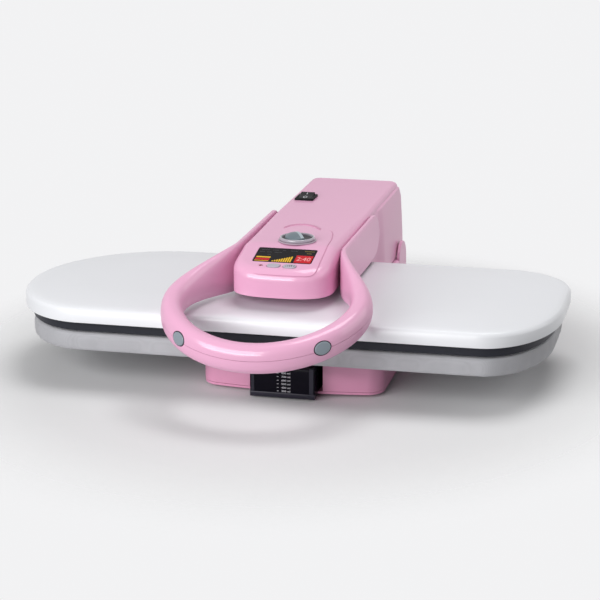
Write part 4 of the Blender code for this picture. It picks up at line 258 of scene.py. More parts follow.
def finish_of(name, group, values, bump=0.00003, strength=0.3, **shader):
    """A Principled material fed by a group: Colour, Roughness and Height, and any Metallic."""
    made = bpy.data.materials.new(name)
    made.use_nodes = True
    tree = made.node_tree
    bsdf = tree.nodes["Principled BSDF"]
    look = add(tree, "Group", node_tree=group)
    for key, value in values.items():
        look.inputs[key].default_value = value
    for output, socket in (("Colour", "Base Color"), ("Roughness", "Roughness"), ("Metallic", "Metallic")):
        if output in look.outputs:
            tree.links.new(look.outputs[output], bsdf.inputs[socket])
    relief = add(tree, "Bump", {"Height": look.outputs["Height"], "Distance": bump, "Strength": strength})
    tree.links.new(relief.outputs[0], bsdf.inputs["Normal"])
    for key, value in shader.items():
        bsdf.inputs[key.replace("_", " ")].default_value = value
    return made


def plastic(name, colour, rough=0.3, drift=0.04, grain=0.3, grain_scale=420.0, **rest):
    """A moulded finish from its colour, roughness, drift of tone and grain."""
    values = {"Colour": (*colour, 1), "Drift": drift, "Roughness": rough, "Grain": grain,
              "Grain scale": grain_scale}
    return finish_of(name, MOULDED, values, **rest)


PEARL = plastic("pearl white plastic", (0.77, 0.78, 0.81), 0.34, drift=0.02, grain=0.04, grain_scale=60.0,
                Coat_Weight=0.2, Coat_Roughness=0.2)


def plate_shell():
    """Rows run from the flange up the side, over the crown and in to the post's hole, and back
    down the inner face. Insets and drops of SHELL_TURN are shares of the shell's height. Towards
    the hole a row is outline (1 - s) + circle s."""
    turn = curve_through(SHELL_TURN, 8)
    rows = plate_rows([(SHELL_EASE, SHELL_BOTTOM), (0.0, SHELL_BOTTOM + SHELL_EASE)])
    rows += plate_rows([(SHELL_HEIGHT * i, SHELL_TOP - SHELL_HEIGHT * drop) for i, drop in turn])
    last = rows[-1][:, :2]
    spin = last - (ARM_X, PLATE_Y)
    circle = (ARM_X, PLATE_Y) + POST_HOLE * spin / np.linalg.norm(spin, axis=1)[:, None]
    under = SHELL_TOP - SHELL_WALL
    for level, shares in ((SHELL_TOP, (0.02, 0.3, 0.6, 0.9, 1.0)), (under, (1.0, 0.5, 0.02))):
        rows += [ring_at(last * (1 - s) + circle * s, level) for s in shares]
    seat = RIM_INSET + RIM_WALL
    rows += plate_rows([(SHELL_WALL + SHELL_HEIGHT, under - SHELL_HEIGHT * 0.1),
                        (SHELL_WALL + SHELL_HEIGHT * 0.2, under - SHELL_HEIGHT * 0.25),
                        (SHELL_WALL, under - SHELL_HEIGHT * 0.4), (SHELL_WALL, SHELL_BOTTOM + SHELL_WALL),
                        (seat, SHELL_BOTTOM + SHELL_WALL), (seat, SHELL_BOTTOM)])
    return skin("shell_over_plate", rows, closed=True)


fitted(plate_shell(), "plate", PEARL, "pearl plastic", "plate_shell")

# Plate rim.
# A dark slate ring of heat-resistant plastic that keeps the hot plate off the shell. It is set
# in from both the shell and the bed, so that it reads as a dark band.

RIM_BOTTOM = 0.0706
RIM_TOP = 0.0825
RIM_EASE = 0.0008

SLATE = plastic("dark slate plastic", (0.017, 0.018, 0.025), 0.45, drift=0.10, grain=1.0, bump=0.0002,
                Specular_IOR_Level=0.2)


def plate_rim():
    """A rectangle of inset and height, its outer corners eased, carried round the outline."""
    outer, inner = RIM_INSET + RIM_EASE, RIM_INSET + RIM_WALL
    return skin("rim_band", plate_rows([(inner, RIM_BOTTOM), (outer, RIM_BOTTOM),
                                        (RIM_INSET, RIM_BOTTOM + RIM_EASE), (RIM_INSET, RIM_TOP - RIM_EASE),
                                        (outer, RIM_TOP), (inner, RIM_TOP)]), closed=True)


fitted(plate_rim(), "plate", SLATE, "slate plastic", "plate_rim")

# Pressing bed.
# A foam and felt pad under a stretched silver-grey cover. The cover turns over a crowned top,
# runs down the side and is drawn in under the hem by an elastic, so it gathers at the corners.

GAP = 0.0003
BED_BOTTOM = 0.0470
BED_HEIGHT = 0.0222
BED_TOP = BED_BOTTOM + BED_HEIGHT
BED_SIDE = [(0.0012, 0.010), (0.0003, 0.12), (0.0, 0.30), (0.0, 0.55), (0.0007, 0.77),
            (0.0018, 0.890), (0.0055, 0.958), (0.0222, 1.0)]
GATHER = 0.00028
STREAK = 0.0004


def woven_group():
    """Woven cloth: warp and weft ridges as two crossed waves, with slow shading over both."""
    group, a, place = group_of("woven cloth", {"Colour": (0.5, 0.5, 0.5, 1), "Shade": (0.3, 0.3, 0.3, 1),
                                               "Threads": 700.0, "Roughness": 0.6},
                               "Colour", "Roughness", "Height")
    threads = {"Vector": place, "Scale": a["Threads"]}
    warp, weft, lift = [add(group, "TexWave", threads, bands_direction=axis).outputs["Fac"] for axis in "XYZ"]
    weave = maths(group, "ADD", maths(group, "MULTIPLY", warp, weft), lift)
    cloud = noise(group, place, 18.0, 6.0)
    share = ramp(group, maths(group, "MULTIPLY_ADD", weave, 0.25, cloud), 0.35, 1.0)
    rough = maths(group, "MULTIPLY_ADD", ramp(group, cloud, 0.3, 0.7), 0.08, a["Roughness"])
    add(group, "NodeGroupOutput", {"Colour": mixed(group, share, a["Shade"], a["Colour"]),
                                   "Roughness": rough, "Height": weave})
    return group


COVER = finish_of("silver cover cloth", woven_group(),
                  {"Colour": (0.45, 0.45, 0.475, 1), "Shade": (0.32, 0.32, 0.34, 1), "Threads": 420.0,
                   "Roughness": 0.55}, bump=0.0002, strength=0.4, Sheen_Weight=0.3, Sheen_Roughness=0.4)


def corner_share(plan):
    """How sharply an outline bends at each point, averaged over nine of them: 0 on the straights."""
    edge = np.roll(plan, -1, 0) - np.roll(plan, 1, 0)
    heading = np.unwrap(np.arctan2(edge[:, 1], edge[:, 0]))
    bend = np.abs(np.gradient(heading)) * len(plan) / (2 * math.pi)
    smooth = np.convolve(np.tile(bend, 3), np.ones(9) / 9, "same")[len(plan):2 * len(plan)]
    return np.clip(smooth - 0.2, 0, 1.6)


def bed_cushion():
    """Rows run from the hem up the side and over the crown to the middle. Near the hem the inset
    gains fine gathers: GATHER x (1 - height share)^2 x the corner's share x sin(pleat count x
    angle), so that the corners bunch and the straights lie smooth. Two slow sines x STREAK x
    sin(pi x height share) give the side its soft streaks."""
    plan = plate_outline(RIM_INSET)
    bend = corner_share(plan)
    count = np.arange(len(plan))
    pleat = np.sin(count * 1.55) + 0.5 * np.sin(count * 0.83 + 1.0)
    slow = np.sin(count * 0.7) + 0.6 * np.sin(count * 1.13 + 2.0)
    middle = np.array([0.0, PLATE_Y])
    rows = []
    for inset, share in curve_through(BED_SIDE, 5):
        fold = GATHER * bend * pleat * (1 - share) ** 2 + STREAK * slow * math.sin(math.pi * share)
        ring = plate_outline(RIM_INSET + GAP + inset)
        inward = middle - ring
        inward /= np.linalg.norm(inward, axis=1)[:, None]
        rows.append(ring_at(ring + inward * (fold + np.abs(fold))[:, None], BED_BOTTOM + BED_HEIGHT * share))
    last = rows[-1][:, :2]
    rows += [ring_at(last * (1 - share) + middle * share, BED_TOP) for share in (0.05, 0.3, 0.6, 0.85)]
    return skin("bed_cushion", rows)


cushion = fitted(bed_cushion(), "base", COVER, "cover cloth", "bed_cover", "bed_pad")

# Head.
# One long glossy pink moulding from its blunt nose, over the tilted control panel, to the hood
# round the hinge. It is hollow, open below, and pierced for the display, keys, knob and switch.

HEAD_HALF = 0.059
HEAD_FRONT = -0.155
NOSE_LENGTH = 0.045
NOSE_POWER = 2.8
PANEL_BREAK = -0.078
PANEL_TILT = math.radians(11)
HOOD_FRONT = 0.118
HOOD_STEP = 0.002
HOOD_FLARE = 0.0085
HOOD_FLARE_LENGTH = 0.050
HEAD_BOTTOM = 0.1190
HEAD_TOP = 0.1650
HOOD_BOTTOM = 0.0740
NOSE_ROUND = 0.0120
HEAD_ROUND = 0.0060
HEAD_WALL = 0.0025
ROUND_FOOT = 0.0015
TOP_STEP = 0.001
MIDDLE_DROP = 0.018
REAR = 0.304
REAR_CORNER = 0.013
DISPLAY_Y = -0.110
DISPLAY_SIZE = (0.070, 0.039)
DISPLAY_CORNER = 0.0030
KEY_PLACES = {"key_left": -0.007, "key_right": 0.012}
KEY_Y = -0.1385
KEY_SIZE = (0.0155, 0.0095)
KEY_ROOM = 0.001
LAMP_PLACE = (-0.022, -0.1385)
LAMP_RADIUS = 0.0022
KNOB_PLACE = (0.0032, -0.061)
KNOB_HOLE = 0.006
ROCKER_PLACE = (-0.0385, 0.170)
ROCKER_SIZE = (0.0190, 0.0260)
ROCKER_BEZEL = 0.0028
ROCKER_CORNER = 0.001
PIVOT = np.array([ARM_X, 0.094, 0.1372])
BUSH_RADIUS = 0.0090
CUT_DEPTH = 0.0075
BUSH_REACH = 0.08

PINK = plastic("light pink plastic", (0.76, 0.39, 0.57), 0.45, drift=0.02, grain=0.03, grain_scale=60.0,
               Specular_IOR_Level=0.1, Coat_Weight=0.30, Coat_IOR=2.2, Coat_Roughness=0.16)


def s_curve(value):
    """3v^2 - 2v^3, held between 0 and 1."""
    value = np.clip(value, 0.0, 1.0)
    return value * value * (3 - 2 * value)


def head_top(y):
    """Level at the rear, and falling by the panel's tilt in front of the break."""
    return HEAD_TOP - np.maximum(0.0, PANEL_BREAK - np.asarray(y, float)) * math.tan(PANEL_TILT)


def edge_round(y):
    """The radius along the top edge: NOSE_ROUND at the nose and the panel, HEAD_ROUND at the hood."""
    share = (np.asarray(y, float) - PANEL_BREAK) / (HOOD_FRONT - PANEL_BREAK)
    return NOSE_ROUND + (HEAD_ROUND - NOSE_ROUND) * s_curve(share)


def head_side(wall, turn=0.0, lean=0.0):
    """The head's right side seen from above: a nose of x = w sin^(2/n) a, y = c - d cos^(2/n) a, a
    straight side, a hood that swings out by the lean, and a round rear corner. All of it lies inside
    the outer face by the wall and by the share turn of the edge's radius."""
    half, centre = HEAD_HALF - wall, HEAD_FRONT + NOSE_LENGTH
    wide, depth = half - NOSE_ROUND * turn, NOSE_LENGTH - wall * 2 - NOSE_ROUND * turn
    a = np.linspace(0, math.pi / 2, 41)
    nose = np.stack([wide * np.sin(a) ** (2 / NOSE_POWER), centre - depth * np.cos(a) ** (2 / NOSE_POWER)], 1)
    nose[0] = (0.0, centre - depth)
    side_y = np.unique(np.concatenate([np.linspace(centre, PANEL_BREAK, 8)[1:],
                                       np.linspace(PANEL_BREAK, HOOD_FRONT, 31)]))
    side = np.stack([half - edge_round(side_y) * turn, side_y], 1)
    hood_y = HOOD_FRONT + HOOD_STEP + HOOD_FLARE_LENGTH * np.linspace(0, 1, 13)
    flare = HOOD_FLARE * s_curve((hood_y - HOOD_FRONT - HOOD_STEP) / HOOD_FLARE_LENGTH) * lean
    inset = wall + HEAD_ROUND * turn
    corner, wide = REAR_CORNER - inset, HEAD_HALF - inset + HOOD_FLARE * lean
    b = np.linspace(0, math.pi / 2, 9)
    rear = np.stack([wide - corner + corner * np.cos(b), REAR - inset - corner + corner * np.sin(b)], 1)
    return np.concatenate([nose, side, np.stack([HEAD_HALF - inset + flare, hood_y], 1), rear,
                           [(0.0, REAR - inset)]])


def head_ring(wall, turn, height, lean=0.0):
    """A ring round the head: the side, then its mirror image, at a height that depends on y."""
    right = head_side(wall, turn, lean)
    ring = np.concatenate([right, right[1:-1][::-1] * (-1, 1)])
    return np.column_stack([ring[:, 0] + ARM_X, ring[:, 1], height(ring[:, 1])])


def cut_by(piece, *tools):
    """Take the tools out of a piece with exact Booleans, and apply the result."""
    for tool in tools:
        step = piece.modifiers.new(tool.name, "BOOLEAN")
        step.object, step.solver, step.operation = tool, "EXACT", "DIFFERENCE"
    shape = bpy.data.meshes.new_from_object(piece.evaluated_get(bpy.context.evaluated_depsgraph_get()))
    piece.modifiers.clear()
    piece.data = shape
    for tool in tools:
        bpy.data.objects.remove(tool)
    softly_shaded(shape)
    return piece


def panel_frame(x, y):
    """A frame on the head's top surface at a point, with its Z square to the surface."""
    tilt = PANEL_TILT if y < PANEL_BREAK else 0.0
    return Matrix.Translation((ARM_X + x, y, float(head_top(y)))) @ Matrix.Rotation(tilt, 4, "X")


def oval(width, depth, corner, steps=8):
    """A rectangle with round corners, as points round zero."""
    a = np.linspace(0, math.pi / 2, steps)
    points = []
    for quarter, (sx, sy) in enumerate(((1, 1), (-1, 1), (-1, -1), (1, -1))):
        turn = a + quarter * math.pi / 2
        points.append(np.stack([sx * (width / 2 - corner) + corner * np.cos(turn),
                                sy * (depth / 2 - corner) + corner * np.sin(turn)], 1))
    return np.concatenate(points)


def disc(radius, steps=8):
    """A circle as four quarters."""
    return oval(radius * 2, radius * 2, radius, steps)


def grown(size, more):
    """A width and a depth, each made larger."""
    return tuple(s + more for s in size)


def raised(name, rings, matrix=None):
    """A skin over rings of (outline, height), moved to its place by a matrix."""
    return moved(skin(name, [ring_at(outline, z) for outline, z in rings]), matrix)


def punch(name, outline, matrix=None, low=-CUT_DEPTH, high=CUT_DEPTH):
    """A cutting tool: one outline carried from low to high."""
    return raised(name, [(outline, low), (outline, high)], matrix)


def head_shell():
    """Rings run from the inner top down the inner wall, round the skirt and up the outer side, over
    a quarter circle of edge_round to the top. The skirt steps down round the hood."""

    def skirt(y):
        return HEAD_BOTTOM - (HEAD_BOTTOM - HOOD_BOTTOM) * s_curve((y - HOOD_FRONT) / (HOOD_STEP * 2) + 0.5)

    def below(drop, share=0.0):
        return lambda y: head_top(y) - drop - edge_round(y) * share

    def between(share):
        return lambda y: (head_top(y) - MIDDLE_DROP) * (1 - share) + skirt(y) * share

    def side(wall):
        return [head_ring(wall, 0.0, between(share), lean)
                for share, lean in ((0.0, 0.6), (0.35, 0.78), (0.7, 0.92), (1.0, 1.0))]

    rings = [head_ring(HEAD_WALL, turn, below(HEAD_WALL, share))
             for turn, share in ((1.0, 0.0), (0.29, 0.29), (0.0, 1.0))]
    rings += side(HEAD_WALL) + side(0.0)[::-1]
    rings += [head_ring(0.0, 0.0, below(ROUND_FOOT, 1.0), 0.3)]
    rings += [head_ring(0.0, turn, below(0.0, 1 - rise)) for turn, rise in quarter_round(11)]
    rings.append(head_ring(TOP_STEP, 1.0, below(0.0)))
    housing = skin("head_moulding", rings, bridged=True)
    cuts = [("display_cut", oval(*grown(DISPLAY_SIZE, 2 * GAP), DISPLAY_CORNER),
             panel_frame(0.0, DISPLAY_Y))]
    cuts += [(key + "_cut", oval(*grown(KEY_SIZE, KEY_ROOM), KEY_SIZE[1] / 2), panel_frame(x, KEY_Y))
             for key, x in KEY_PLACES.items()]
    cuts += [("lamp_cut", disc(LAMP_RADIUS + GAP), panel_frame(*LAMP_PLACE)),
             ("knob_cut", disc(KNOB_HOLE), panel_frame(*KNOB_PLACE)),
             ("switch_cut", oval(*grown(ROCKER_SIZE, ROCKER_BEZEL), ROCKER_CORNER),
              panel_frame(*ROCKER_PLACE))]
    tools = [punch(*cut) for cut in cuts]
    bore = Matrix.Translation(PIVOT) @ Matrix.Rotation(math.pi / 2, 4, "Y")
    tools.append(punch("bush_cut", disc(BUSH_RADIUS + GAP, 12), bore, -BUSH_REACH, BUSH_REACH))
    return cut_by(housing, *tools)


head_moulding = fitted(head_shell(), "head", PINK, "pink plastic", "head_housing")

# Handle.
# Two glossy pink mouldings: flat arms along both sides of the head swing out into a thick round
# loop in front, and a lower shell closes the loop. They meet in a fine line at half its height.

ARM_CLEARANCE = 0.0012
ARM_THICKNESS = 0.0078
ARM_HEIGHT = 0.0560
ARM_FRONT = -0.075
ARM_MIDDLE = HEAD_TOP - 0.0010 - ARM_HEIGHT / 2
ARM_END_STEPS = 12
LOOP_WIDTH = 0.242
LOOP_CENTRE = -0.200
GRIP_DEPTH = 0.026
GRIP_HEIGHT = 0.0335
GRIP_BOTTOM = 0.0709
LOOP_HALF = LOOP_WIDTH / 2 - GRIP_DEPTH / 2
LOOP_FRONT = -REAR + GRIP_DEPTH / 2
PARTING_GAP = 0.0004
SHAFT_HOLE = 0.0053
BUTTON_X = 0.0742
BUTTON_RADIUS = 0.0072
BUTTON_STRETCH = 1.33
BUTTON_RING = 0.0007
BUTTON_LIFT = math.radians(5)
SOCKET_SPAN = (-0.009, 0.03)
SIDES = ((-1, "left"), (1, "right"))


def loop_height(y):
    """The middle line's height: level at the arms, falling as a parabola to the loop's front."""
    front_z = GRIP_BOTTOM + GRIP_HEIGHT / 2
    share = np.clip((y - LOOP_FRONT) / (ARM_FRONT - LOOP_FRONT), 0, 1)
    return front_z + (ARM_MIDDLE - front_z) * (1 - (1 - share) ** 2)


def outward(y):
    """The way from arm to loop: 0 at the arm's front, 1 at the loop's middle."""
    return (ARM_FRONT - y) / (ARM_FRONT - LOOP_CENTRE)


def handle_line():
    """Stations round the handle: middle point, half thickness and half height. From the right arm's
    round end to the flare, then half an ellipse in front, and the mirror image of it all."""
    arm_x = HEAD_HALF + ARM_CLEARANCE + ARM_THICKNESS / 2
    half = ARM_HEIGHT / 2
    a = np.radians(np.linspace(80, 0, ARM_END_STEPS, endpoint=False))
    end = np.stack([np.full(ARM_END_STEPS, arm_x), PIVOT[1] + half * np.sin(a),
                    np.full(ARM_END_STEPS, ARM_MIDDLE), np.full(ARM_END_STEPS, ARM_THICKNESS / 2),
                    half * np.cos(a)], 1)
    y = np.concatenate([np.linspace(PIVOT[1], ARM_FRONT, 8), np.linspace(ARM_FRONT, LOOP_CENTRE, 34)[1:]])
    b = np.linspace(0, math.pi / 2, 41)[1:]
    x = np.concatenate([arm_x + (LOOP_HALF - arm_x) * s_curve(outward(y)), LOOP_HALF * np.cos(b)])
    y = np.concatenate([y, LOOP_CENTRE + (LOOP_FRONT - LOOP_CENTRE) * np.sin(b)])
    grow = s_curve(outward(y))
    body = np.stack([x, y, loop_height(y), (ARM_THICKNESS + (GRIP_DEPTH - ARM_THICKNESS) * grow) / 2,
                     (ARM_HEIGHT + (GRIP_HEIGHT - ARM_HEIGHT) * grow) / 2], 1)
    right = np.concatenate([end, body])
    line = np.concatenate([right, right[:-1][::-1] * (-1, 1, 1, 1, 1)])
    line[:, 0] += ARM_X
    return line


def parting_share(y):
    """Where the two mouldings meet, as a share of the half height: at the arm's foot, then the
    loop's middle."""
    return -0.97 * (1 - s_curve(outward(y) * 1.3))


def swept(path, along, x, z):
    """Sections carried along a path: x level and square to the path, z square to both."""
    along = along / np.linalg.norm(along, axis=1)[:, None]
    across = np.cross(along, (0, 0, 1))
    across /= np.linalg.norm(across, axis=1)[:, None]
    up = np.cross(across, along)
    return path[:, None, :] + across[:, None, :] * x[..., None] + up[:, None, :] * z[..., None]


def grip_rings(line, upper):
    """The section x = t |cos a|^(2/p), z = h |sin a|^(2/p) above or below the parting line, set
    square to the path. The power p goes from 4 on the flat arms to 2.3 on the round grip. The lower
    moulding drops by the gap x (1 - cos a)/2, so the line is open outside and flush inside."""
    middle, thick, tall = line[:, :3], line[:, 3], line[:, 4]
    along = np.concatenate([middle[1:2] - middle[:1], middle[2:] - middle[:-2], middle[-1:] - middle[-2:-1]])
    flat = (tall * ARM_THICKNESS / (thick * ARM_HEIGHT) - GRIP_HEIGHT / GRIP_DEPTH / 4) * 2
    power = (2.3 + 1.7 * s_curve(flat))[:, None]
    level = parting_share(middle[:, 1])[:, None]
    limit = -np.arcsin(np.abs(level) ** (power / 2))
    share = np.linspace(0, 1, 56 if upper else 30)[None, :]
    if upper:
        a = limit + (math.pi - 2 * limit) * share
    else:
        a = (math.pi - limit) + (math.pi + 2 * limit) * share
    c, s = np.cos(a), np.sin(a)
    x = thick[:, None] * np.sign(c) * np.abs(c) ** (2 / power)
    z = tall[:, None] * np.sign(s) * np.abs(s) ** (2 / power) - (0 if upper else PARTING_GAP * (1 - c) / 2)
    x = np.concatenate([x, np.zeros((len(x), 1))], 1)
    z = np.concatenate([z, level * tall[:, None] + (PARTING_GAP if upper else -2 * PARTING_GAP)], 1)
    return swept(middle, along, x, z)


def button_frame(side):
    """A frame on the grip's outer face where a steam button sits: X along the loop, Z outwards and
    raised by BUTTON_LIFT. The seat lies on the section t cos b, h sin b with tan b = h/t tan lift."""
    reach = LOOP_FRONT - LOOP_CENTRE
    turn = math.acos(BUTTON_X / LOOP_HALF)
    y = LOOP_CENTRE + reach * math.sin(turn)
    step = 0.001
    slope = float(loop_height(y + step) - loop_height(y - step)) / step / 2
    along = Vector((-side * LOOP_HALF * math.sin(turn), reach * math.cos(turn),
                    reach * math.cos(turn) * slope))
    out = Vector((-along.y, along.x, 0.0)).normalized() * side
    along.normalize()
    up = out.cross(along) * side
    up = up if up.z > 0 else -up
    b = math.atan(math.tan(BUTTON_LIFT) * GRIP_HEIGHT / GRIP_DEPTH)
    seat = Vector((ARM_X + side * BUTTON_X, y, float(loop_height(y))))
    seat += out * GRIP_DEPTH / 2 * math.cos(b) + up * GRIP_HEIGHT / 2 * math.sin(b)
    normal = out * math.cos(BUTTON_LIFT) + up * math.sin(BUTTON_LIFT)
    turned_to = Matrix((along, normal.cross(along), normal)).transposed().to_4x4()
    return Matrix.Translation(seat) @ turned_to


def ellipse(radius, steps=64):
    """A button's outline: the radius across, and the radius times BUTTON_STRETCH along the loop."""
    a = np.arange(steps) * 2 * math.pi / steps
    return np.stack([radius * BUTTON_STRETCH * np.cos(a), radius * np.sin(a)], 1)


def turned(name, profile, centre=(0, 0, 0), direction=(0, 0, 1), sides=64):
    """A solid of revolution: radius and height pairs carried round an axis."""
    turn = np.array(Vector((0, 0, 1)).rotation_difference(Vector(direction)).to_matrix())
    profile = np.asarray(profile, float)
    a = np.arange(sides) * 2 * math.pi / sides
    grid = np.stack([profile[:, :1] * np.cos(a), profile[:, :1] * np.sin(a),
                     np.repeat(profile[:, 1:], sides, 1)], -1)
    return skin(name, grid @ turn.T + np.asarray(centre, float))


def socket_cuts():
    """The tools for the two buttons' sockets."""
    hole = ellipse(BUTTON_RADIUS + BUTTON_RING + GAP)
    return [punch("socket_cut_" + label, hole, button_frame(side), *SOCKET_SPAN) for side, label in SIDES]


def handle_mouldings():
    """Both mouldings are pierced for the buttons, and the upper one is bored for the shaft. The
    lower one runs only where the parting line has left the arm's foot."""
    line = handle_line()
    reach = HEAD_HALF + ARM_CLEARANCE + ARM_THICKNESS * 2 / 3 + GAP
    bore = turned("shaft_cut", [(SHAFT_HOLE, 0), (SHAFT_HOLE, 2 * reach)], PIVOT - (reach, 0, 0), (1, 0, 0),
                  32)
    top = cut_by(skin("handle_top_moulding", grip_rings(line, True)), *socket_cuts(), bore)
    low = grip_rings(line[parting_share(line[:, 1]) > -0.9], False)
    return top, cut_by(skin("handle_low_moulding", low), *socket_cuts())


handle_top, handle_low = handle_mouldings()
fitted(handle_top, "handle", PINK, "pink plastic", "handle_upper")
fitted(handle_low, "handle", PINK, "pink plastic", "handle_lower")

# Base.
# A pink moulded cover with a softly bowed front, open below, with a mouth for the tank. It is
# screwed to a flat bottom plate that stands on four rubber feet.

BASE_X = 0.01875
BASE_WIDTH = 0.2165
BASE_FRONT = -0.145
BASE_BOW = 0.011
BASE_CORNER = 0.018
BASE_WALL = 0.0030
BASE_LOW = 0.0070
BASE_HIGH = 0.0467
BASE_EASE = 0.0004
SHOULDER = 0.004
COLUMN_FRONT = 0.126
TANK_X = 0.015
TANK_WIDTH = 0.077
TUNNEL_ROOM = 0.0035
TUNNEL_WALL = 0.0015
TUNNEL_TOP = BASE_HIGH - BASE_WALL - GAP
MOUTH_DEPTH = 0.04
MOUTH_MIDDLE = (TANK_X, BASE_FRONT + 0.01)
PASSAGE_SIZE = (0.038, 0.02)
PASSAGE_LIFT = 0.0005

# Painted shade: the base is the head's pink plastic, coloured darker and deeper to stand for the shade that
# falls on it.
BASE_SHADE_PINK = plastic("pink plastic darkened as painted shade", (0.66, 0.29, 0.445), 0.45, drift=0.03, grain=0.03, grain_scale=60.0,
                    Specular_IOR_Level=0.1, Coat_Weight=0.3, Coat_IOR=2.0, Coat_Roughness=0.2)


def base_outline(inset, rear):
    """Straight sides, round front corners and a front bowed by BASE_BOW (1 - (2x/w)^2)."""
    half, corner = BASE_WIDTH / 2 - inset, BASE_CORNER - inset
    front = BASE_FRONT + BASE_BOW + inset
    a = np.linspace(0, math.pi / 2, 17)
    right = np.concatenate([[(half, rear)], np.stack([half - corner + corner * np.cos(a),
                                                      front + corner - corner * np.sin(a)], 1),
                            np.stack([np.linspace(half - corner, 0, 21)[1:], np.full(20, front)], 1)])
    ring = np.concatenate([right, right[:-1][::-1] * (-1, 1)])
    reach = np.maximum(0.0, 1 - (ring[:, 0] / half) ** 2)
    near = np.clip(1 - (ring[:, 1] - front) / corner, 0, 1)
    return np.stack([BASE_X + ring[:, 0], ring[:, 1] - BASE_BOW * reach * near], 1)


def square_cut(name, width, depth, middle, low, high):
    """A tool with a plain rectangle for its outline."""
    return punch(name, oval(width, depth, 0.0001, 2) + middle, None, low, high)


def base_cover():
    """Rings from the inner roof down the wall and up the outside, over a quarter-round shoulder."""
    rear = COLUMN_FRONT - GAP
    section = [(BASE_WALL, BASE_HIGH - BASE_WALL), (BASE_WALL, BASE_LOW), (BASE_EASE, BASE_LOW),
               (0.0, BASE_LOW + BASE_EASE)]
    section += [(SHOULDER * turn, BASE_HIGH - SHOULDER * (1 - rise)) for turn, rise in quarter_round(7)]
    section.append((SHOULDER + TOP_STEP, BASE_HIGH))
    cover = skin("base_cover", [ring_at(base_outline(inset, rear - inset), z) for inset, z in section])
    half = TANK_WIDTH / 2 + TUNNEL_ROOM + TUNNEL_WALL + GAP
    mouth = square_cut("mouth_cut", half * 2, MOUTH_DEPTH, MOUTH_MIDDLE, 0.0, TUNNEL_TOP + GAP)
    passage = square_cut("passage_cut", *PASSAGE_SIZE, (ARM_X, rear), BASE_LOW + PASSAGE_LIFT,
                         BASE_HIGH - SHOULDER * 3)
    return cut_by(cover, mouth, passage)


fitted(base_cover(), "base", BASE_SHADE_PINK, "pink plastic", "base_housing")

# Bottom, column and what they hold.
# A plain bottom plate on rubber feet, a moulded column behind the bed, and between its walls the
# steel hinge brackets, the shaft and the coil spring that carries the head's weight.


def worked_group():
    """Rolled or machined metal: fine streaks along X from a noise stretched 60 to 1, a slow cloud in
    the tone and in the gloss."""
    group, a, place = group_of("worked metal", {"Colour": (0.6, 0.6, 0.6, 1), "Drift": 0.12,
                                                "Roughness": 0.3, "Streaks": 700.0},
                               "Colour", "Roughness", "Metallic", "Height")
    drawn = add(group, "VectorMath", {0: place, 1: (1 / 60, 1.0, 1.0)}, operation="MULTIPLY").outputs[0]
    streak = noise(group, drawn, a["Streaks"], 3.0)
    cloud = noise(group, place, 26.0, 4.0)
    add(group, "NodeGroupOutput", {"Colour": drifted(group, a, cloud),
                                   "Roughness": maths(group, "MULTIPLY_ADD", streak, 0.14, a["Roughness"]),
                                   "Metallic": ramp(group, cloud, 0.2, 0.4, 0.92), "Height": streak})
    return group


def coated(finish, *nodes):
    """Give CAD nodes that keep their shape a finish."""
    for node in nodes:
        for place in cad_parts[node].material_slots:
            place.material = finish


WORKED = worked_group()
STEEL = finish_of("zinc plated steel", WORKED, {"Colour": (0.55, 0.55, 0.56, 1), "Roughness": 0.30},
                  bump=0.00002)
RUBBER = plastic("black rubber", (0.018, 0.018, 0.019), 0.72, drift=0.2, grain=1.0, bump=0.0001, strength=0.5)
GREY = plastic("blue grey plastic", (0.22, 0.26, 0.30), 0.34, Coat_Weight=0.2, Coat_Roughness=0.2)
DULL = plastic("dull black plastic", (0.008, 0.008, 0.009), 0.55, drift=0.15, grain=0.8, bump=0.00004,
               strength=0.4, Specular_IOR_Level=0.07)
# The bottom plate takes the same pink, darkened as painted shade.
coated(BASE_SHADE_PINK, "base_floor")
coated(PINK, "rear_column")
coated(RUBBER, "foot_front_left", "foot_front_right", "foot_rear_left", "foot_rear_right")
coated(STEEL, "hinge_bracket_left", "hinge_bracket_right", "hinge_shaft", "lift_spring")
coated(DULL, "cord_gland", "tank_socket", "pump", "handle_bush_left", "handle_bush_right")
coated(SLATE, "tank_tunnel", "tank_valve")
coated(GREY, "suction_tube", "pressure_tube", "steam_tube")
coated(plastic("painted steel tray", (0.30, 0.31, 0.33), 0.42, drift=0.08, grain=0.6), "bed_pan")


def board_group():
    """A circuit board: green lacquer, with copper runs under it where a brick pattern has its
    joints, and solder dots on a fine grid of cells."""
    group, a, place = group_of("circuit board", {"Colour": (0.02, 0.16, 0.07, 1)},
                               "Colour", "Roughness", "Height")
    bricks = {"Vector": place, "Color1": (0, 0, 0, 1), "Color2": (0, 0, 0, 1), "Mortar": (1, 1, 1, 1),
              "Scale": 180.0, "Mortar Size": 0.06}
    runs = add(group, "TexBrick", bricks).outputs["Fac"]
    cells = add(group, "TexVoronoi", {"Vector": place, "Scale": 300.0, "Randomness": 0.4}).outputs["Distance"]
    dots = ramp(group, cells, 0.16, 0.12)
    green = mixed(group, runs, a["Colour"], (0.05, 0.30, 0.14, 1))
    add(group, "NodeGroupOutput", {"Colour": mixed(group, dots, green, (0.55, 0.55, 0.53, 1)),
                                   "Roughness": ramp(group, runs, 0.0, 1.0, 0.30, 0.36),
                                   "Height": maths(group, "ADD", runs, dots)})
    return group


coated(finish_of("green circuit board", board_group(), {}, bump=0.00005), "control_board", "power_board")

# Heated plate and what lifts it.
# A cast aluminium plate, drilled with steam holes, carries the steam chamber, the element and the
# cut-out. A turned post joins it to the slotted yoke that the handle's eccentric raises.

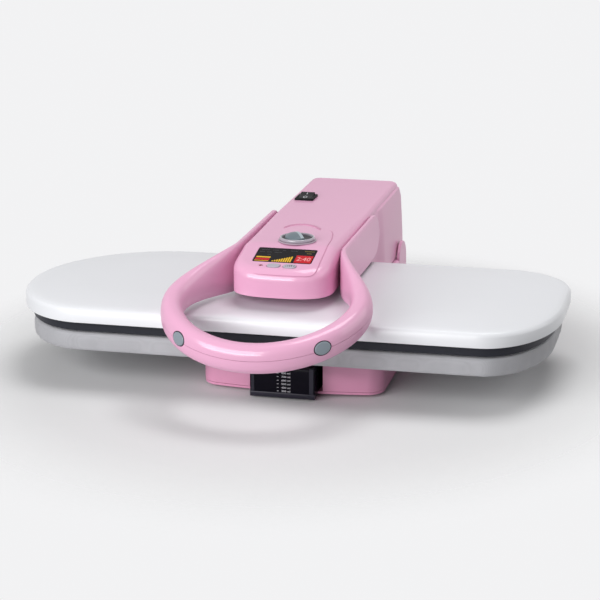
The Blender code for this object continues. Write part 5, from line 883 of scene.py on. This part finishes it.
ALUMINIUM = finish_of("cast aluminium", WORKED, {"Colour": (0.66, 0.66, 0.67, 1), "Roughness": 0.26,
                                                 "Streaks": 240.0}, bump=0.00002)
coated(ALUMINIUM, "heating_plate", "steam_chamber")
coated(STEEL, "plate_post", "press_yoke", "head_frame", "cross_shaft", "dial_pot", "thermal_cutout")
coated(finish_of("sheathed element", WORKED, {"Colour": (0.20, 0.17, 0.15, 1), "Roughness": 0.45}),
       "heating_element")
coated(PINK, "head_underside")

# Water tank.
# A smoked, see-through moulding that slides out of its tunnel by the lip under its front. A scale
# in white shows the level, and a grey cap closes the filling hole on top.

TANK_FRONT = -0.164
TANK_SETBACK = 0.0016
TANK_TOP = 0.0403
TANK_FLOOR = 0.0073
TANK_REAR = 0.0260
TANK_WALL = 0.0020
TANK_CHAMFER = (0.002, 0.004)
ROOM_CHAMFER = (0.001, 0.005)
DRILL = 0.01
FILLER_TOP = (TANK_X, TANK_FRONT + 0.055, TANK_TOP)
FILLER_RADIUS = 0.013
FILLER_CAP = [(0.0127, -0.0020), (0.0127, 0.0002), (0.0155, 0.0002), (0.0156, 0.0008), (0.0152, 0.0013),
              (0.0090, 0.0013), (0.0080, 0.0010), (0.0040, 0.0010)]
VALVE_HOLE = 0.0058
VALVE_HEIGHT = 0.017
LIP_SECTION = [(0.0012, 0.0086), (0.0002, 0.0080), (0.0, 0.0055), (0.0006, 0.0024), (0.0030, 0.0022),
               (0.0085, 0.0022), (0.0150, 0.0050), (0.0178, 0.0071)]
LIP_BACK = (0.0030, 0.0086)
LIP_EASE = 0.0006
LIP_SHRINK = 0.036
EDGE_BARS = ((-1, 0.0038, 0.0033), (1, 0.0052, 0.0040))
EDGE_SETBACK = 0.0034
EDGE_DEPTH = 0.0060
EDGE_HEIGHT = 0.0308
EDGE_FOOT = 0.0083
SCALE_MARKS = {800: 0.0318, 700: 0.0274, 600: 0.0230, 500: 0.0186, 400: 0.0142, 300: 0.0100}
LONG_STROKE, SHORT_STROKE = 0.0070, 0.0020
FIGURE_SIZE = 0.0030
FIGURE_STRETCH = 1.3
FIGURE_X, FIGURE_Y = TANK_X + 0.0042, TANK_FRONT + 0.0014
STROKE_END, STROKE_Y = TANK_X - 0.0045, TANK_FRONT + 0.0015
STROKE_HEIGHT = 0.0005
INK_THICKNESS = 0.0001

SMOKED = plastic("smoked clear plastic", (0.008, 0.007, 0.013), 0.10, drift=0.05, grain=0.1,
                 Transmission_Weight=0.35, IOR=1.2, Specular_IOR_Level=0.04)
SMOKED_EDGE = plastic("smoked edge", (0.020, 0.019, 0.030), 0.26, drift=0.08, grain=0.2,
                      Specular_IOR_Level=0.25)
WHITE_INK = plastic("white ink", (0.60, 0.60, 0.63), 0.5, drift=0.05)


def slab(name, size, place=(0, 0, 0), edge=0.0006, matrix=None):
    """A box with softened corners and edges. Its underside has its middle at the place."""
    width, depth, height = size
    rings = [(oval(width - edge, depth - edge, edge), 0.0), (oval(width, depth, edge), edge / 2),
             (oval(width, depth, edge), height - edge / 2), (oval(width - edge, depth - edge, edge), height)]
    return moved(raised(name, rings, Matrix.Translation(place)), matrix)


def as_one(name, *parts):
    """Join the meshes of several pieces into one."""
    merged = bmesh.new()
    for part in parts:
        merged.from_mesh(part.data)
        bpy.data.objects.remove(part)
    mesh = bpy.data.meshes.new(name)
    merged.to_mesh(mesh)
    merged.free()
    softly_shaded(mesh)
    return placed(name, mesh)


def figures(name, text, size, matrix, thick=0.00006):
    """Printed figures as a thin mesh, centred on zero and moved to their place."""
    curve = bpy.data.curves.new(name, "FONT")
    curve.body, curve.size, curve.extrude, curve.resolution_u = text, size, thick, 3
    curve.align_x, curve.align_y = "CENTER", "CENTER"
    holder = placed(name, curve)
    mesh = bpy.data.meshes.new_from_object(holder.evaluated_get(bpy.context.evaluated_depsgraph_get()))
    bpy.data.objects.remove(holder)
    mesh.transform(matrix)
    return placed(name, mesh)


def side_skin(name, points, half):
    """A side profile of y and z carried across the tank, from -half to half."""
    return skin(name, [[(TANK_X + x, y, z) for y, z in points] for x in (-half, half)])


def tank_moulding():
    """A box whose front leans back at the top, less a room inside, the filling hole and the valve's
    hole."""
    half, front = TANK_WIDTH / 2, TANK_FRONT + TANK_SETBACK
    back, down = TANK_CHAMFER
    outer = [(front, TANK_FLOOR), (front, TANK_TOP - down), (front + back, TANK_TOP), (TANK_REAR, TANK_TOP),
             (TANK_REAR, TANK_FLOOR)]
    near, far = front + TANK_WALL, TANK_REAR - TANK_WALL
    low, high = TANK_FLOOR + TANK_WALL, TANK_TOP - TANK_WALL
    back, down = ROOM_CHAMFER
    inner = [(near, low), (near, TANK_TOP - down), (near + back, high), (far, high), (far, low)]
    box = side_skin("tank_moulding", outer, half)
    room = side_skin("tank_room", inner, half - TANK_WALL)
    mouth = turned("filler_cut", [(FILLER_RADIUS, -DRILL), (FILLER_RADIUS, DRILL)], FILLER_TOP)
    valve = turned("valve_cut", [(VALVE_HOLE, -DRILL), (VALVE_HOLE, DRILL)],
                   (TANK_X, TANK_REAR, VALVE_HEIGHT), (0, 1, 0), 32)
    return cut_by(box, room, mouth, valve)


def tank_front():
    """The dark frame of the tank's front: two upright edges, each a width and a margin from the
    tank's side, and the lip, a bar whose profile drops below the base and leans back to the floor
    of the tank. Its ends are eased by shrinking the profile a little."""
    half = TANK_WIDTH / 2
    profile = np.concatenate([curve_through(LIP_SECTION, 4), [LIP_BACK]])
    middle = profile.mean(0)
    rows = []
    eased = half - LIP_EASE
    for x, shrink in ((-half, LIP_SHRINK), (-eased, 0.0), (eased, 0.0), (half, LIP_SHRINK)):
        section = profile + (middle - profile) * shrink
        rows.append([(TANK_X + x, TANK_FRONT + y, z) for y, z in section])
    lip = skin("tank_lip", rows)
    edges = [slab("tank_edge", (width, EDGE_DEPTH, EDGE_HEIGHT),
                  (TANK_X + side * (half - margin), TANK_FRONT + EDGE_SETBACK, EDGE_FOOT))
             for side, width, margin in EDGE_BARS]
    return as_one("tank_front", lip, *edges)


def tank_scale():
    """Short strokes and figures on the front, the longer stroke at the top."""
    marks = []
    upright = Matrix.Rotation(math.pi / 2, 4, "X")
    wider = Matrix.Scale(FIGURE_STRETCH, 4, (1, 0, 0))
    for volume, z in SCALE_MARKS.items():
        place = Matrix.Translation((FIGURE_X, FIGURE_Y, z)) @ upright
        marks.append(figures("figures", f"{volume} ml", FIGURE_SIZE, place @ wider))
        width = SHORT_STROKE if marks[1:] else LONG_STROKE
        place = Matrix.Translation((STROKE_END - width / 2, STROKE_Y, z)) @ upright
        marks.append(slab("stroke", (width, STROKE_HEIGHT, INK_THICKNESS), edge=INK_THICKNESS, matrix=place))
    return as_one("tank_scale", *marks)


fitted(tank_moulding(), "tank", SMOKED, "smoked plastic", "tank_body")
fitted(tank_front(), "tank", SMOKED_EDGE, "smoked plastic")
fitted(tank_scale(), "tank", WHITE_INK, "smoked plastic")
fitted(turned("filler_cap", FILLER_CAP, FILLER_TOP), "tank", GREY, "grey plastic", "tank_lid")

# Control panel.
# A smoked window over a printed display, with two grey keys and a small red lamp in front of it, and
# two lines moulded on the head's top, round the panel and over the dial, coloured a darker pink as
# painted shade.

WINDOW = panel_frame(0.0, DISPLAY_Y)
WINDOW_THICKNESS = 0.0036
WINDOW_EDGE = 0.0012
WINDOW_FACE = 0.0002
PRINT_LEVEL = 0.00027
PRINT_THICKNESS = 0.00005
DASH_PITCH = 0.021
DASH_LENGTH = 0.015
DIGIT_SIZE = 0.0135
DIGIT_PLACE = (0.0240, -0.0085, PRINT_LEVEL + 0.00004)
DIGIT_STRETCH = 0.72
DIGIT_THICKNESS = 0.00003
KEY_FOOT = -0.0037
KEY_EDGE = 0.0003
KEY_ROUND = 0.0007
KEY_CROWN = 0.0012
KEY_SHOULDER = 0.0014
STROKES = (0.0018, 0.0026, 0.0034, 0.0042)
STROKE_PITCH = 0.0022
STROKE_WIDTH = 0.0009
STROKE_LEFT = 0.0040
STROKE_LEVEL = 0.00116
STROKE_THICKNESS = 0.00012
TICK_SIZE = (0.0012, 0.0030, STROKE_THICKNESS)
TICK_PLACE = (0.0052, 0.0, 0.0010)
LENS = [(LAMP_RADIUS, -0.004), (LAMP_RADIUS, -0.0004), (0.0017, 0.0), (0.0011, 0.0003), (0.0005, 0.0004)]
DIAL_ARC_SIZE = (0.0042, 0.0010)
PANEL_LINE_SIZE = (0.0015, 0.0004)
DIAL_ARC = [(-0.0278, -0.0019), (-0.0251, 0.0088), (-0.0200, 0.0166), (-0.0130, 0.0215), (-0.0039, 0.0222),
            (0.0055, 0.0172), (0.0135, 0.0076), (0.0183, -0.0013)]
PANEL_LINE = [(0.0287, 0.0012), (0.0330, -0.0053), (0.0372, -0.0191), (0.0408, -0.0402), (0.0430, -0.0682),
              (0.0438, -0.0855), (0.0442, -0.1008), (0.0446, -0.1208), (0.0448, -0.1330), (0.0438, -0.1410),
              (0.0405, -0.1460), (0.0340, -0.1492), (0.0228, -0.1516), (0.0117, -0.1524), (0.0003, -0.1526),
              (-0.0112, -0.1524), (-0.0206, -0.1517), (-0.0280, -0.1503)]


def display_ink(name, colour, rough=0.4):
    """Ink or glass of the display, which hardly shines."""
    return plastic(name, colour, rough, drift=0.1, grain=0.1, Specular_IOR_Level=0.04)


INK_BLACK = display_ink("black display glass", (0.006, 0.005, 0.006), 0.25)
INK_YELLOW = display_ink("yellow display ink", (0.80, 0.48, 0.04))
INK_RED = display_ink("red display ink", (0.56, 0.02, 0.03))
INK_PALE = display_ink("pale display ink", (0.86, 0.42, 0.42))
INK_FAINT = display_ink("faint display ink", (0.055, 0.055, 0.060))
INK_DIM = display_ink("dim yellow display ink", (0.20, 0.15, 0.04))
LAMP_RED = plastic("red lamp lens", (0.22, 0.02, 0.04), 0.12, drift=0.1, Coat_Weight=0.5)
KEY_GREY = plastic("pale grey key plastic", (0.42, 0.39, 0.45), 0.35, drift=0.05)
# Painted shade: the moulded lines are coloured a darker pink than the head to stand for their shaded side.
SHADE_PINK = plastic("pink plastic with painted shade", (0.60, 0.28, 0.42), 0.5, drift=0.03, grain=0.1,
                    Specular_IOR_Level=0.1)


def printed(name, spans, ink):
    """Flat bars on the display. A span is left, right, upper and lower edge as shares of the window."""
    width, depth = DISPLAY_SIZE
    bars = []
    for left, right, upper, lower in spans:
        foot, head = depth / 2 - depth * lower, depth / 2 - depth * upper
        x, far = width * (left - 0.5), width * (right - 0.5)
        outline = np.array([(x, foot), (far, foot), (far, head), (x, head)])
        bars.append(raised("bar", [(outline, PRINT_LEVEL - PRINT_THICKNESS), (outline, PRINT_LEVEL)], WINDOW))
    fitted(as_one(name, *bars), "head", ink, "black plastic")


def dashes(row, height, words):
    """Spans of short strokes that stand for lines of small print: each word is start and count."""
    starts = [start + k * DASH_PITCH for start, count in words for k in range(count)]
    return [(start, start + DASH_LENGTH, row, row + height) for start in starts]


def display():
    """The dark window, and on it dim rows of dashes, yellow bars that rise to the right, two red
    fields and pale digits."""
    glass = slab("display_window", (*DISPLAY_SIZE, WINDOW_THICKNESS),
                 (0, 0, WINDOW_FACE - WINDOW_THICKNESS), WINDOW_EDGE, WINDOW)
    fitted(glass, "head", INK_BLACK, "black plastic", "display_window")
    small = dashes(0.15, 0.045, ((0.06, 7), (0.25, 5), (0.42, 3), (0.56, 6)))
    small += dashes(0.30, 0.045, ((0.05, 4), (0.17, 4), (0.30, 6))) + dashes(0.47, 0.045, ((0.20, 3),))
    printed("display_print", small, INK_FAINT)
    warm = [(0.035, 0.275, 0.64, 0.72), (0.030, 0.270, 0.92, 0.955)]
    warm += [(0.325 + 0.037 * k, 0.351 + 0.037 * k, 0.90 - 0.042 * k, 0.96) for k in range(9)]
    printed("display_bars", warm, INK_YELLOW)
    printed("display_notes", dashes(0.13, 0.05, ((0.80, 8),)) + dashes(0.28, 0.05, ((0.85, 4),)), INK_DIM)
    printed("display_field", [(0.030, 0.272, 0.76, 0.88), (0.70, 0.985, 0.46, 0.965)], INK_RED)
    narrow = Matrix.Diagonal((DIGIT_STRETCH, 1.0, 1.0, 1.0))
    place = WINDOW @ Matrix.Translation(DIGIT_PLACE)
    digits = figures("display_digits", "2:40", DIGIT_SIZE, place @ narrow, DIGIT_THICKNESS)
    fitted(digits, "head", INK_PALE, "black plastic")


def key_cap(name, x):
    """A pill with an upright side, a rounded shoulder and a faintly domed top. The right key has
    four rising strokes and a tick moulded on it."""
    width, depth = KEY_SIZE
    rings = [(oval(width, depth, depth / 2), KEY_FOOT)]
    for turn, rise in quarter_round(6):
        inset = KEY_SHOULDER * turn
        pill = oval(width - inset, depth - inset, (depth - inset) / 2)
        rings.append((pill, KEY_EDGE + KEY_ROUND * rise))
    rings.append((oval(width / 2, depth / 2.6, depth / 5.2), KEY_CROWN))
    body, place = "left key" if x < 0 else "right key", panel_frame(x, KEY_Y)
    fitted(raised(name + "_cap", rings, place), body, KEY_GREY, "grey plastic", name)
    if x > 0:
        marks = []
        for k, high in enumerate(STROKES):
            foot = (STROKE_PITCH * k - STROKE_LEFT, (high - STROKES[-1]) / 2, STROKE_LEVEL)
            marks.append(slab("mark", (STROKE_WIDTH, high, STROKE_THICKNESS), foot, 0.0002, place))
        marks.append(slab("mark", TICK_SIZE, TICK_PLACE, 0.0003, place))
        fitted(as_one("key_marks", *marks), body, SLATE, "grey plastic")


def on_head(points):
    """Points of the head's top under given places: x from the arm's middle, and y."""
    found = []
    for x, y in points:
        hit = head_moulding.ray_cast(Vector((ARM_X + x, y, 0.3)), Vector((0, 0, -1)))[1]
        found.append((hit.x, hit.y, hit.z))
    return np.array(found)


def moulded_line(name, stops, width, height):
    """A half-round ridge along a path on the head's top: half an ellipse of width and height, which
    shrinks to nothing over the last tenth at each end. Its darker pink is painted shade."""
    base = on_head(curve_through(stops, 10))
    share = np.linspace(0, 1, len(base))
    fade = np.clip(np.minimum(share, 1 - share) * 10, 0.05, 1.0)[:, None]
    a = np.linspace(-0.35, math.pi + 0.35, 13)[None, :]
    side, lift = width / 2 * np.cos(a) * fade ** 0.5, height * np.sin(a) * fade
    ridge = skin(name, swept(base, np.gradient(base, axis=0), side, lift))
    fitted(ridge, "head", SHADE_PINK, "pink plastic")


display()
for key, x in KEY_PLACES.items():
    key_cap(key, x)
lens = moved(turned("lamp_lens", LENS, sides=24), panel_frame(*LAMP_PLACE))
fitted(lens, "head", LAMP_RED, "lamp lens", "power_lamp")
moulded_line("dial_arc", DIAL_ARC, *DIAL_ARC_SIZE)
moulded_line("panel_line", PANEL_LINE, *PANEL_LINE_SIZE)

# Temperature dial.
# A grey drum with a raised rim in a thin ring. Its hollow top has a finger grip across it: one side
# slopes up from the rim to a crest, the other falls steeply to the dark floor. The grip's darker grey
# and the floor's near black are painted shade, and the pale band on the crest is a painted highlight.

KNOB_BASE = HEAD_TOP + 0.0020
KNOB_TURN = math.radians(123)
DIAL_MIDDLE = (ARM_X + KNOB_PLACE[0], KNOB_PLACE[1])
DRUM = [(0.0030, -0.0040), (0.0030, 0.0), (0.0206, 0.0), (0.0211, 0.0005), (0.0210, 0.0018), (0.0207, 0.0028),
        (0.0203, 0.0033), (0.0197, 0.0035), (0.0190, 0.0034), (0.0186, 0.0030), (0.0184, 0.0024),
        (0.0183, 0.0012), (0.0180, 0.0008), (0.0100, 0.0007)]
DIAL_FLOOR = [(0.0060, 0.0008), (0.0182, 0.0009), (0.0182, 0.0012), (0.0060, 0.0011)]
DIAL_RING = [(0.0226, 0.0), (0.0229, 0.0004), (0.0226, 0.0011), (0.0218, 0.0014), (0.0063, 0.0014),
             (0.0063, 0.0)]
GRIP_REACH = 0.0166
GRIP_HALF = 0.0160
GRIP_CREST = 0.0085
GRIP_SINK = 0.0042
GRIP_FOOT = 0.0026
GRIP_FLOOR = 0.0004
GRIP_SHARE = 0.86
GRIP_SLOPE = ((0.84, 0.15), (0.78, 0.36), (0.68, 0.58), (0.54, 0.78), (0.38, 0.92))
CREST_LEFT, CREST_RIGHT = -0.0010, 0.0027
GRIP_FALL = ((0.0033, 0.0006), (0.0045, 0.0030))
GRIP_HEEL = [(0.0055, 0.0022), (0.0058, GRIP_FLOOR)]
BAND = 0.0001
BAND_RISE = 0.00004
BAND_DEPTH = 0.0004

# Painted light: the crest's pale band is a painted highlight, the grip's darker grey is painted shade, and
# the dial's near-black floor is painted shade in its hollow.
CREST_HIGHLIGHT_GREY = plastic("pale grey painted highlight", (0.36, 0.42, 0.46), 0.34)
RIM_GREY = plastic("mid grey plastic", (0.36, 0.33, 0.38), 0.24, grain=0.2, Coat_Weight=0.4,
                   Coat_Roughness=0.1)
RING_GREY = plastic("violet grey plastic", (0.40, 0.32, 0.38), 0.4, drift=0.05, grain=0.2,
                    Specular_IOR_Level=0.2)
HOLLOW_SHADE_GREY = plastic("shaded grey plastic", (0.055, 0.052, 0.058), 0.5, drift=0.05, grain=0.2,
                      Specular_IOR_Level=0.15)
GRIP_SHADE_GREY = plastic("slate blue plastic darkened as painted shade", (0.14, 0.175, 0.20), 0.36, Specular_IOR_Level=0.3)


def grip_section(side, top):
    """Up from the floor inside the rim by GRIP_SLOPE to the crest, then steeply down again. side is
    how far the rim's circle lets it reach."""
    section = [(-side * GRIP_SHARE, GRIP_FLOOR), (-side * GRIP_SHARE, GRIP_FOOT)]
    section += [(-side * s, GRIP_FOOT + (top - GRIP_FOOT) * h) for s, h in GRIP_SLOPE]
    section += [(CREST_LEFT, top), (CREST_RIGHT, top)]
    section += [(s, top - drop) for s, drop in GRIP_FALL] + GRIP_HEEL
    return [(max(s, -side) if s < 0 else min(s, side), z) for s, z in section]


def highlight_band_section(side, top):
    """The pale band that lies on the crest, a painted highlight."""
    foot, face = top - BAND_DEPTH, top + BAND_RISE
    return [(CREST_LEFT, foot), (CREST_LEFT + BAND, face), (CREST_RIGHT, face), (CREST_RIGHT + BAND, foot)]


def along_grip(name, section_at):
    """Sections along the grip at distance t, where the circle is sqrt(R^2 - t^2) wide and the crest
    has sunk by GRIP_SINK (t/R)^2."""
    rows = []
    for t in np.linspace(-GRIP_HALF, GRIP_HALF, 33):
        side = math.sqrt(GRIP_REACH ** 2 - t ** 2)
        top = GRIP_CREST - GRIP_SINK * (t / GRIP_REACH) ** 2
        rows.append([(s, t, z) for s, z in section_at(side, top)])
    spin = Matrix.Rotation(KNOB_TURN - math.pi / 2, 4, "Z")
    return moved(skin(name, rows, crease=50.0), Matrix.Translation((*DIAL_MIDDLE, KNOB_BASE)) @ spin)


fitted(turned("dial_drum", DRUM, (*DIAL_MIDDLE, KNOB_BASE), sides=96), "knob", RIM_GREY, "grey plastic",
       "temperature_knob")
fitted(along_grip("dial_grip", grip_section), "knob", GRIP_SHADE_GREY, "grey plastic")
fitted(along_grip("dial_crest_highlight", highlight_band_section), "knob", CREST_HIGHLIGHT_GREY, "grey plastic")
fitted(turned("dial_floor", DIAL_FLOOR, (*DIAL_MIDDLE, KNOB_BASE)), "knob", HOLLOW_SHADE_GREY, "grey plastic")
fitted(turned("dial_ring", DIAL_RING, (*DIAL_MIDDLE, HEAD_TOP + GAP), sides=96), "head", RING_GREY,
       "grey plastic", "knob_ring")

# Mains switch.
# A black bezel snapped into the head's top, and a rocker with white marks that tips over its
# middle. The front half is down at rest.

SWITCH_BASE = panel_frame(*ROCKER_PLACE)
BEZEL_FOOT = 0.0018
BEZEL_SLOPE = 0.0008
ROCKER_ROOM = 0.0013
ROCKER_TIP = math.radians(9)
ROCKER_LEVEL = 0.0031
ROCKER_EASE = 0.0007
ROCKER_CURVE = ((-1.0, -0.6), (-0.95, -0.5), (-0.5, -0.22), (0.0, 0.15), (0.5, 0.75), (0.95, 1.36),
                (1.0, 1.4))
ROCKER_FOOT = ((0.93, -0.0025), (0.0, -0.0050), (-0.93, -0.0037))
MARK_LEVEL = 0.00317
MARK_THICKNESS = 0.00008
MARK_EDGE = 0.0002
ON_SIZE = (0.0010, 0.0052)
ON_PLACE = (0.55, 0.81, 1.25)
OFF_INNER, OFF_OUTER = 0.0019, 0.0026
OFF_STRETCH = 1.45
OFF_PLACE = (-0.5, -0.22, 0.72)

BLACK = plastic("gloss black plastic", (0.007, 0.006, 0.008), 0.24, drift=0.1, grain=0.2,
                Specular_IOR_Level=0.06)


def switch_bezel():
    """Rounded rectangles from the foot in the head out over the flange, and in and down the mouth."""
    rim = 2 * ROCKER_BEZEL
    section = [(BEZEL_FOOT, ROCKER_CORNER, -0.0150), (BEZEL_FOOT, ROCKER_CORNER, GAP), (rim, 0.0022, GAP),
               (rim, 0.0022, 0.0016), (rim - BEZEL_SLOPE, 0.0020, 0.0026),
               (rim - BEZEL_SLOPE * 3, 0.0016, 0.0028), (0.0, 0.0008, 0.0028), (0.0, 0.0008, -0.0076)]
    rings = [(oval(*grown(ROCKER_SIZE, more), corner), z) for more, corner, z in section]
    return raised("switch_bezel", rings, SWITCH_BASE)


def switch_rocker():
    """The side profile of a dished top and a cradle foot, carried across with its ends eased. The
    marks lie on the two halves of the top, an upright stroke behind and a ring in front: share of
    the half length, and height and slope as shares of the tip's rise."""
    half, wide = ROCKER_SIZE[1] / 2 - ROCKER_ROOM, ROCKER_SIZE[0] / 2 - GAP
    rise = half * math.tan(ROCKER_TIP)
    rows = []
    eased = wide - ROCKER_EASE
    for x, drop in ((-wide, ROCKER_EASE), (-eased, 0.0), (eased, 0.0), (wide, ROCKER_EASE)):
        rows.append([(x, half * s, ROCKER_LEVEL + rise * h - drop) for s, h in ROCKER_CURVE]
                    + [(x, half * s, z) for s, z in ROCKER_FOOT])
    rocker = moved(skin("switch_rocker", rows), SWITCH_BASE)

    def on_top(share, lift, slope):
        place = Matrix.Translation((0.0, half * share, MARK_LEVEL + rise * lift))
        return SWITCH_BASE @ (place @ Matrix.Rotation(math.atan(rise * slope / half), 4, "X"))

    bar = slab("mark_on", (*ON_SIZE, MARK_THICKNESS), edge=MARK_EDGE, matrix=on_top(*ON_PLACE))
    a = np.arange(40) * math.pi / 20
    loop = np.stack([np.cos(a), OFF_STRETCH * np.sin(a)], 1)
    corners = [(OFF_INNER, 0.0), (OFF_OUTER, 0.0), (OFF_OUTER, MARK_THICKNESS), (OFF_INNER, MARK_THICKNESS)]
    ring = skin("mark_off", [ring_at(loop * r, z) for r, z in corners], closed=True)
    return rocker, as_one("switch_marks", bar, moved(ring, on_top(*OFF_PLACE)))


fitted(switch_bezel(), "head", DULL, "black plastic", "switch_body")
rocker, rocker_marks = switch_rocker()
fitted(rocker, "rocker", BLACK, "black plastic", "power_rocker")
fitted(rocker_marks, "rocker", WHITE_INK, "black plastic")

# Steam buttons.
# Two oval sprung caps of blue grey plastic in the front of the loop, over the line where its two
# mouldings meet. Each moves in a thin dark ring that is pressed into its socket.

CAP_SHOULDER = 0.0012
CAP_FOOT = -0.0047
CAP_EDGE = -0.0002
CAP_ROUND = 0.0008
CAP_CROWN = ((0.6, 0.00075), (0.3, 0.0008))
RING_ROOM = 0.0002
RING_FOOT = -0.0085
RING_FACE = -0.0004


def steam_button(side, label):
    """A cap of ellipses with a quarter-round shoulder, and a ring between two ellipses."""
    place = button_frame(side)
    cap = [(ellipse(BUTTON_RADIUS), CAP_FOOT)]
    cap += [(ellipse(BUTTON_RADIUS - CAP_SHOULDER * turn), CAP_EDGE + CAP_ROUND * rise)
            for turn, rise in quarter_round(7)]
    cap += [(ellipse(BUTTON_RADIUS * share), z) for share, z in CAP_CROWN]
    fitted(raised("steam_cap_" + label, cap, place), label + " steam button", GREY, "grey plastic",
           "steam_button_" + label)
    outer, inner = ellipse(BUTTON_RADIUS + BUTTON_RING), ellipse(BUTTON_RADIUS + RING_ROOM)
    rows = [ring_at(outer, RING_FOOT), ring_at(outer, RING_FACE), ring_at(inner, RING_FACE),
            ring_at(inner, RING_FOOT)]
    ring = moved(skin("steam_ring_" + label, rows, closed=True), place)
    fitted(ring, "handle", SLATE, "slate plastic", "button_ring_" + label)


for side, label in SIDES:
    steam_button(side, label)

# Studio.
# White paper on the floor, which fades into a pale backdrop, under a broad lamp from the front left,
# a low strip that draws the lights on nose and loop, a large fill from the right and a ceiling panel.

CAMERA_AT = (0.5493, -2.3856, 0.7451)
CAMERA_TO = (0.0068, -0.0360, 0.0854)
CAMERA_LENS = 124.15
CAMERA_SENSOR = 36.0
AMBIENT = 0.11
LAMP_TARGET = (0, -0.05, 0.10)
LAMPS = (("front lamp", (-1.05, -2.13, 1.24), (2.4, 1.0), 42),
         ("low front strip", (-1.00, -2.30, 0.60), (2.2, 0.35), 23),
         ("right fill", (2.20, 0.50, 1.00), (2.4, 1.8), 17),
         ("ceiling panel", (0.40, 0.10, 2.2), (1.2, 1.2), 22))
FLOOR_REACH = 14.0
FLOOR_FADE = (0.36, 0.60)
FLOOR_SQUASH = 1.22
PAPER_TONES = (0.73, 0.73, 0.735, 1), (0.75, 0.75, 0.755, 1)
BACKDROP = (0.89, 0.89, 0.90, 1)

studio = bpy.context.scene
studio.view_settings.view_transform = "Standard"


def paper_floor():
    """A square of paper whose alpha falls from 1 to 0 with the distance from the object."""
    mesh = bpy.data.meshes.new("floor")
    corners = [(sx * FLOOR_REACH, sy * FLOOR_REACH, 0) for sx, sy in ((-1, -1), (1, -1), (1, 1), (-1, 1))]
    mesh.from_pydata(corners, [], [(0, 1, 2, 3)])
    paper = bpy.data.materials.new("floor paper")
    paper.use_nodes = True
    tree = paper.node_tree
    bsdf = tree.nodes["Principled BSDF"]
    bsdf.inputs["Roughness"].default_value = 0.9
    place = add(tree, "TexCoord").outputs["Object"]
    shade = mixed(tree, noise(tree, place, 1.5, 2.0), *PAPER_TONES)
    wide = add(tree, "VectorMath", {0: place, 1: (FLOOR_SQUASH, 1.0, 1.0)}, operation="MULTIPLY").outputs[0]
    away = add(tree, "VectorMath", {0: wide}, operation="LENGTH").outputs["Value"]
    fade = ramp(tree, away, *FLOOR_FADE, 1.0, 0.0)
    fade.node.interpolation_type = "SMOOTHSTEP"
    tree.links.new(shade, bsdf.inputs["Base Color"])
    tree.links.new(fade, bsdf.inputs["Alpha"])
    mesh.materials.append(paper)
    placed("floor", mesh)


def studio_air():
    """A pale background for the camera, for gloss and through clear plastic, and AMBIENT for the rest."""
    world = bpy.data.worlds.new("studio air")
    studio.world = world
    world.use_nodes = True
    air = world.node_tree
    path = add(air, "LightPath").outputs
    seen = maths(air, "MAXIMUM", path["Is Camera Ray"], path["Is Glossy Ray"])
    seen = maths(air, "MAXIMUM", seen, path["Is Transmission Ray"])
    back = air.nodes["Background"]
    back.inputs["Color"].default_value = BACKDROP
    air.links.new(ramp(air, seen, 0.0, 1.0, AMBIENT, 1.0), back.inputs["Strength"])


def aimed(name, data, place, target):
    """A lamp or camera at a place, turned towards a point."""
    holder = placed(name, data)
    holder.location = place
    holder.rotation_euler = (Vector(target) - Vector(place)).to_track_quat("-Z", "Y").to_euler()
    return holder


paper_floor()
studio_air()
for name, place, size, power in LAMPS:
    light = bpy.data.lights.new(name, "AREA")
    light.shape, light.size, light.size_y, light.energy = "RECTANGLE", *size, power
    aimed(name, light, place, LAMP_TARGET)
studio.camera = aimed("camera", bpy.data.cameras.new("camera"), CAMERA_AT, CAMERA_TO)
studio.camera.data.sensor_width, studio.camera.data.lens = CAMERA_SENSOR, CAMERA_LENS
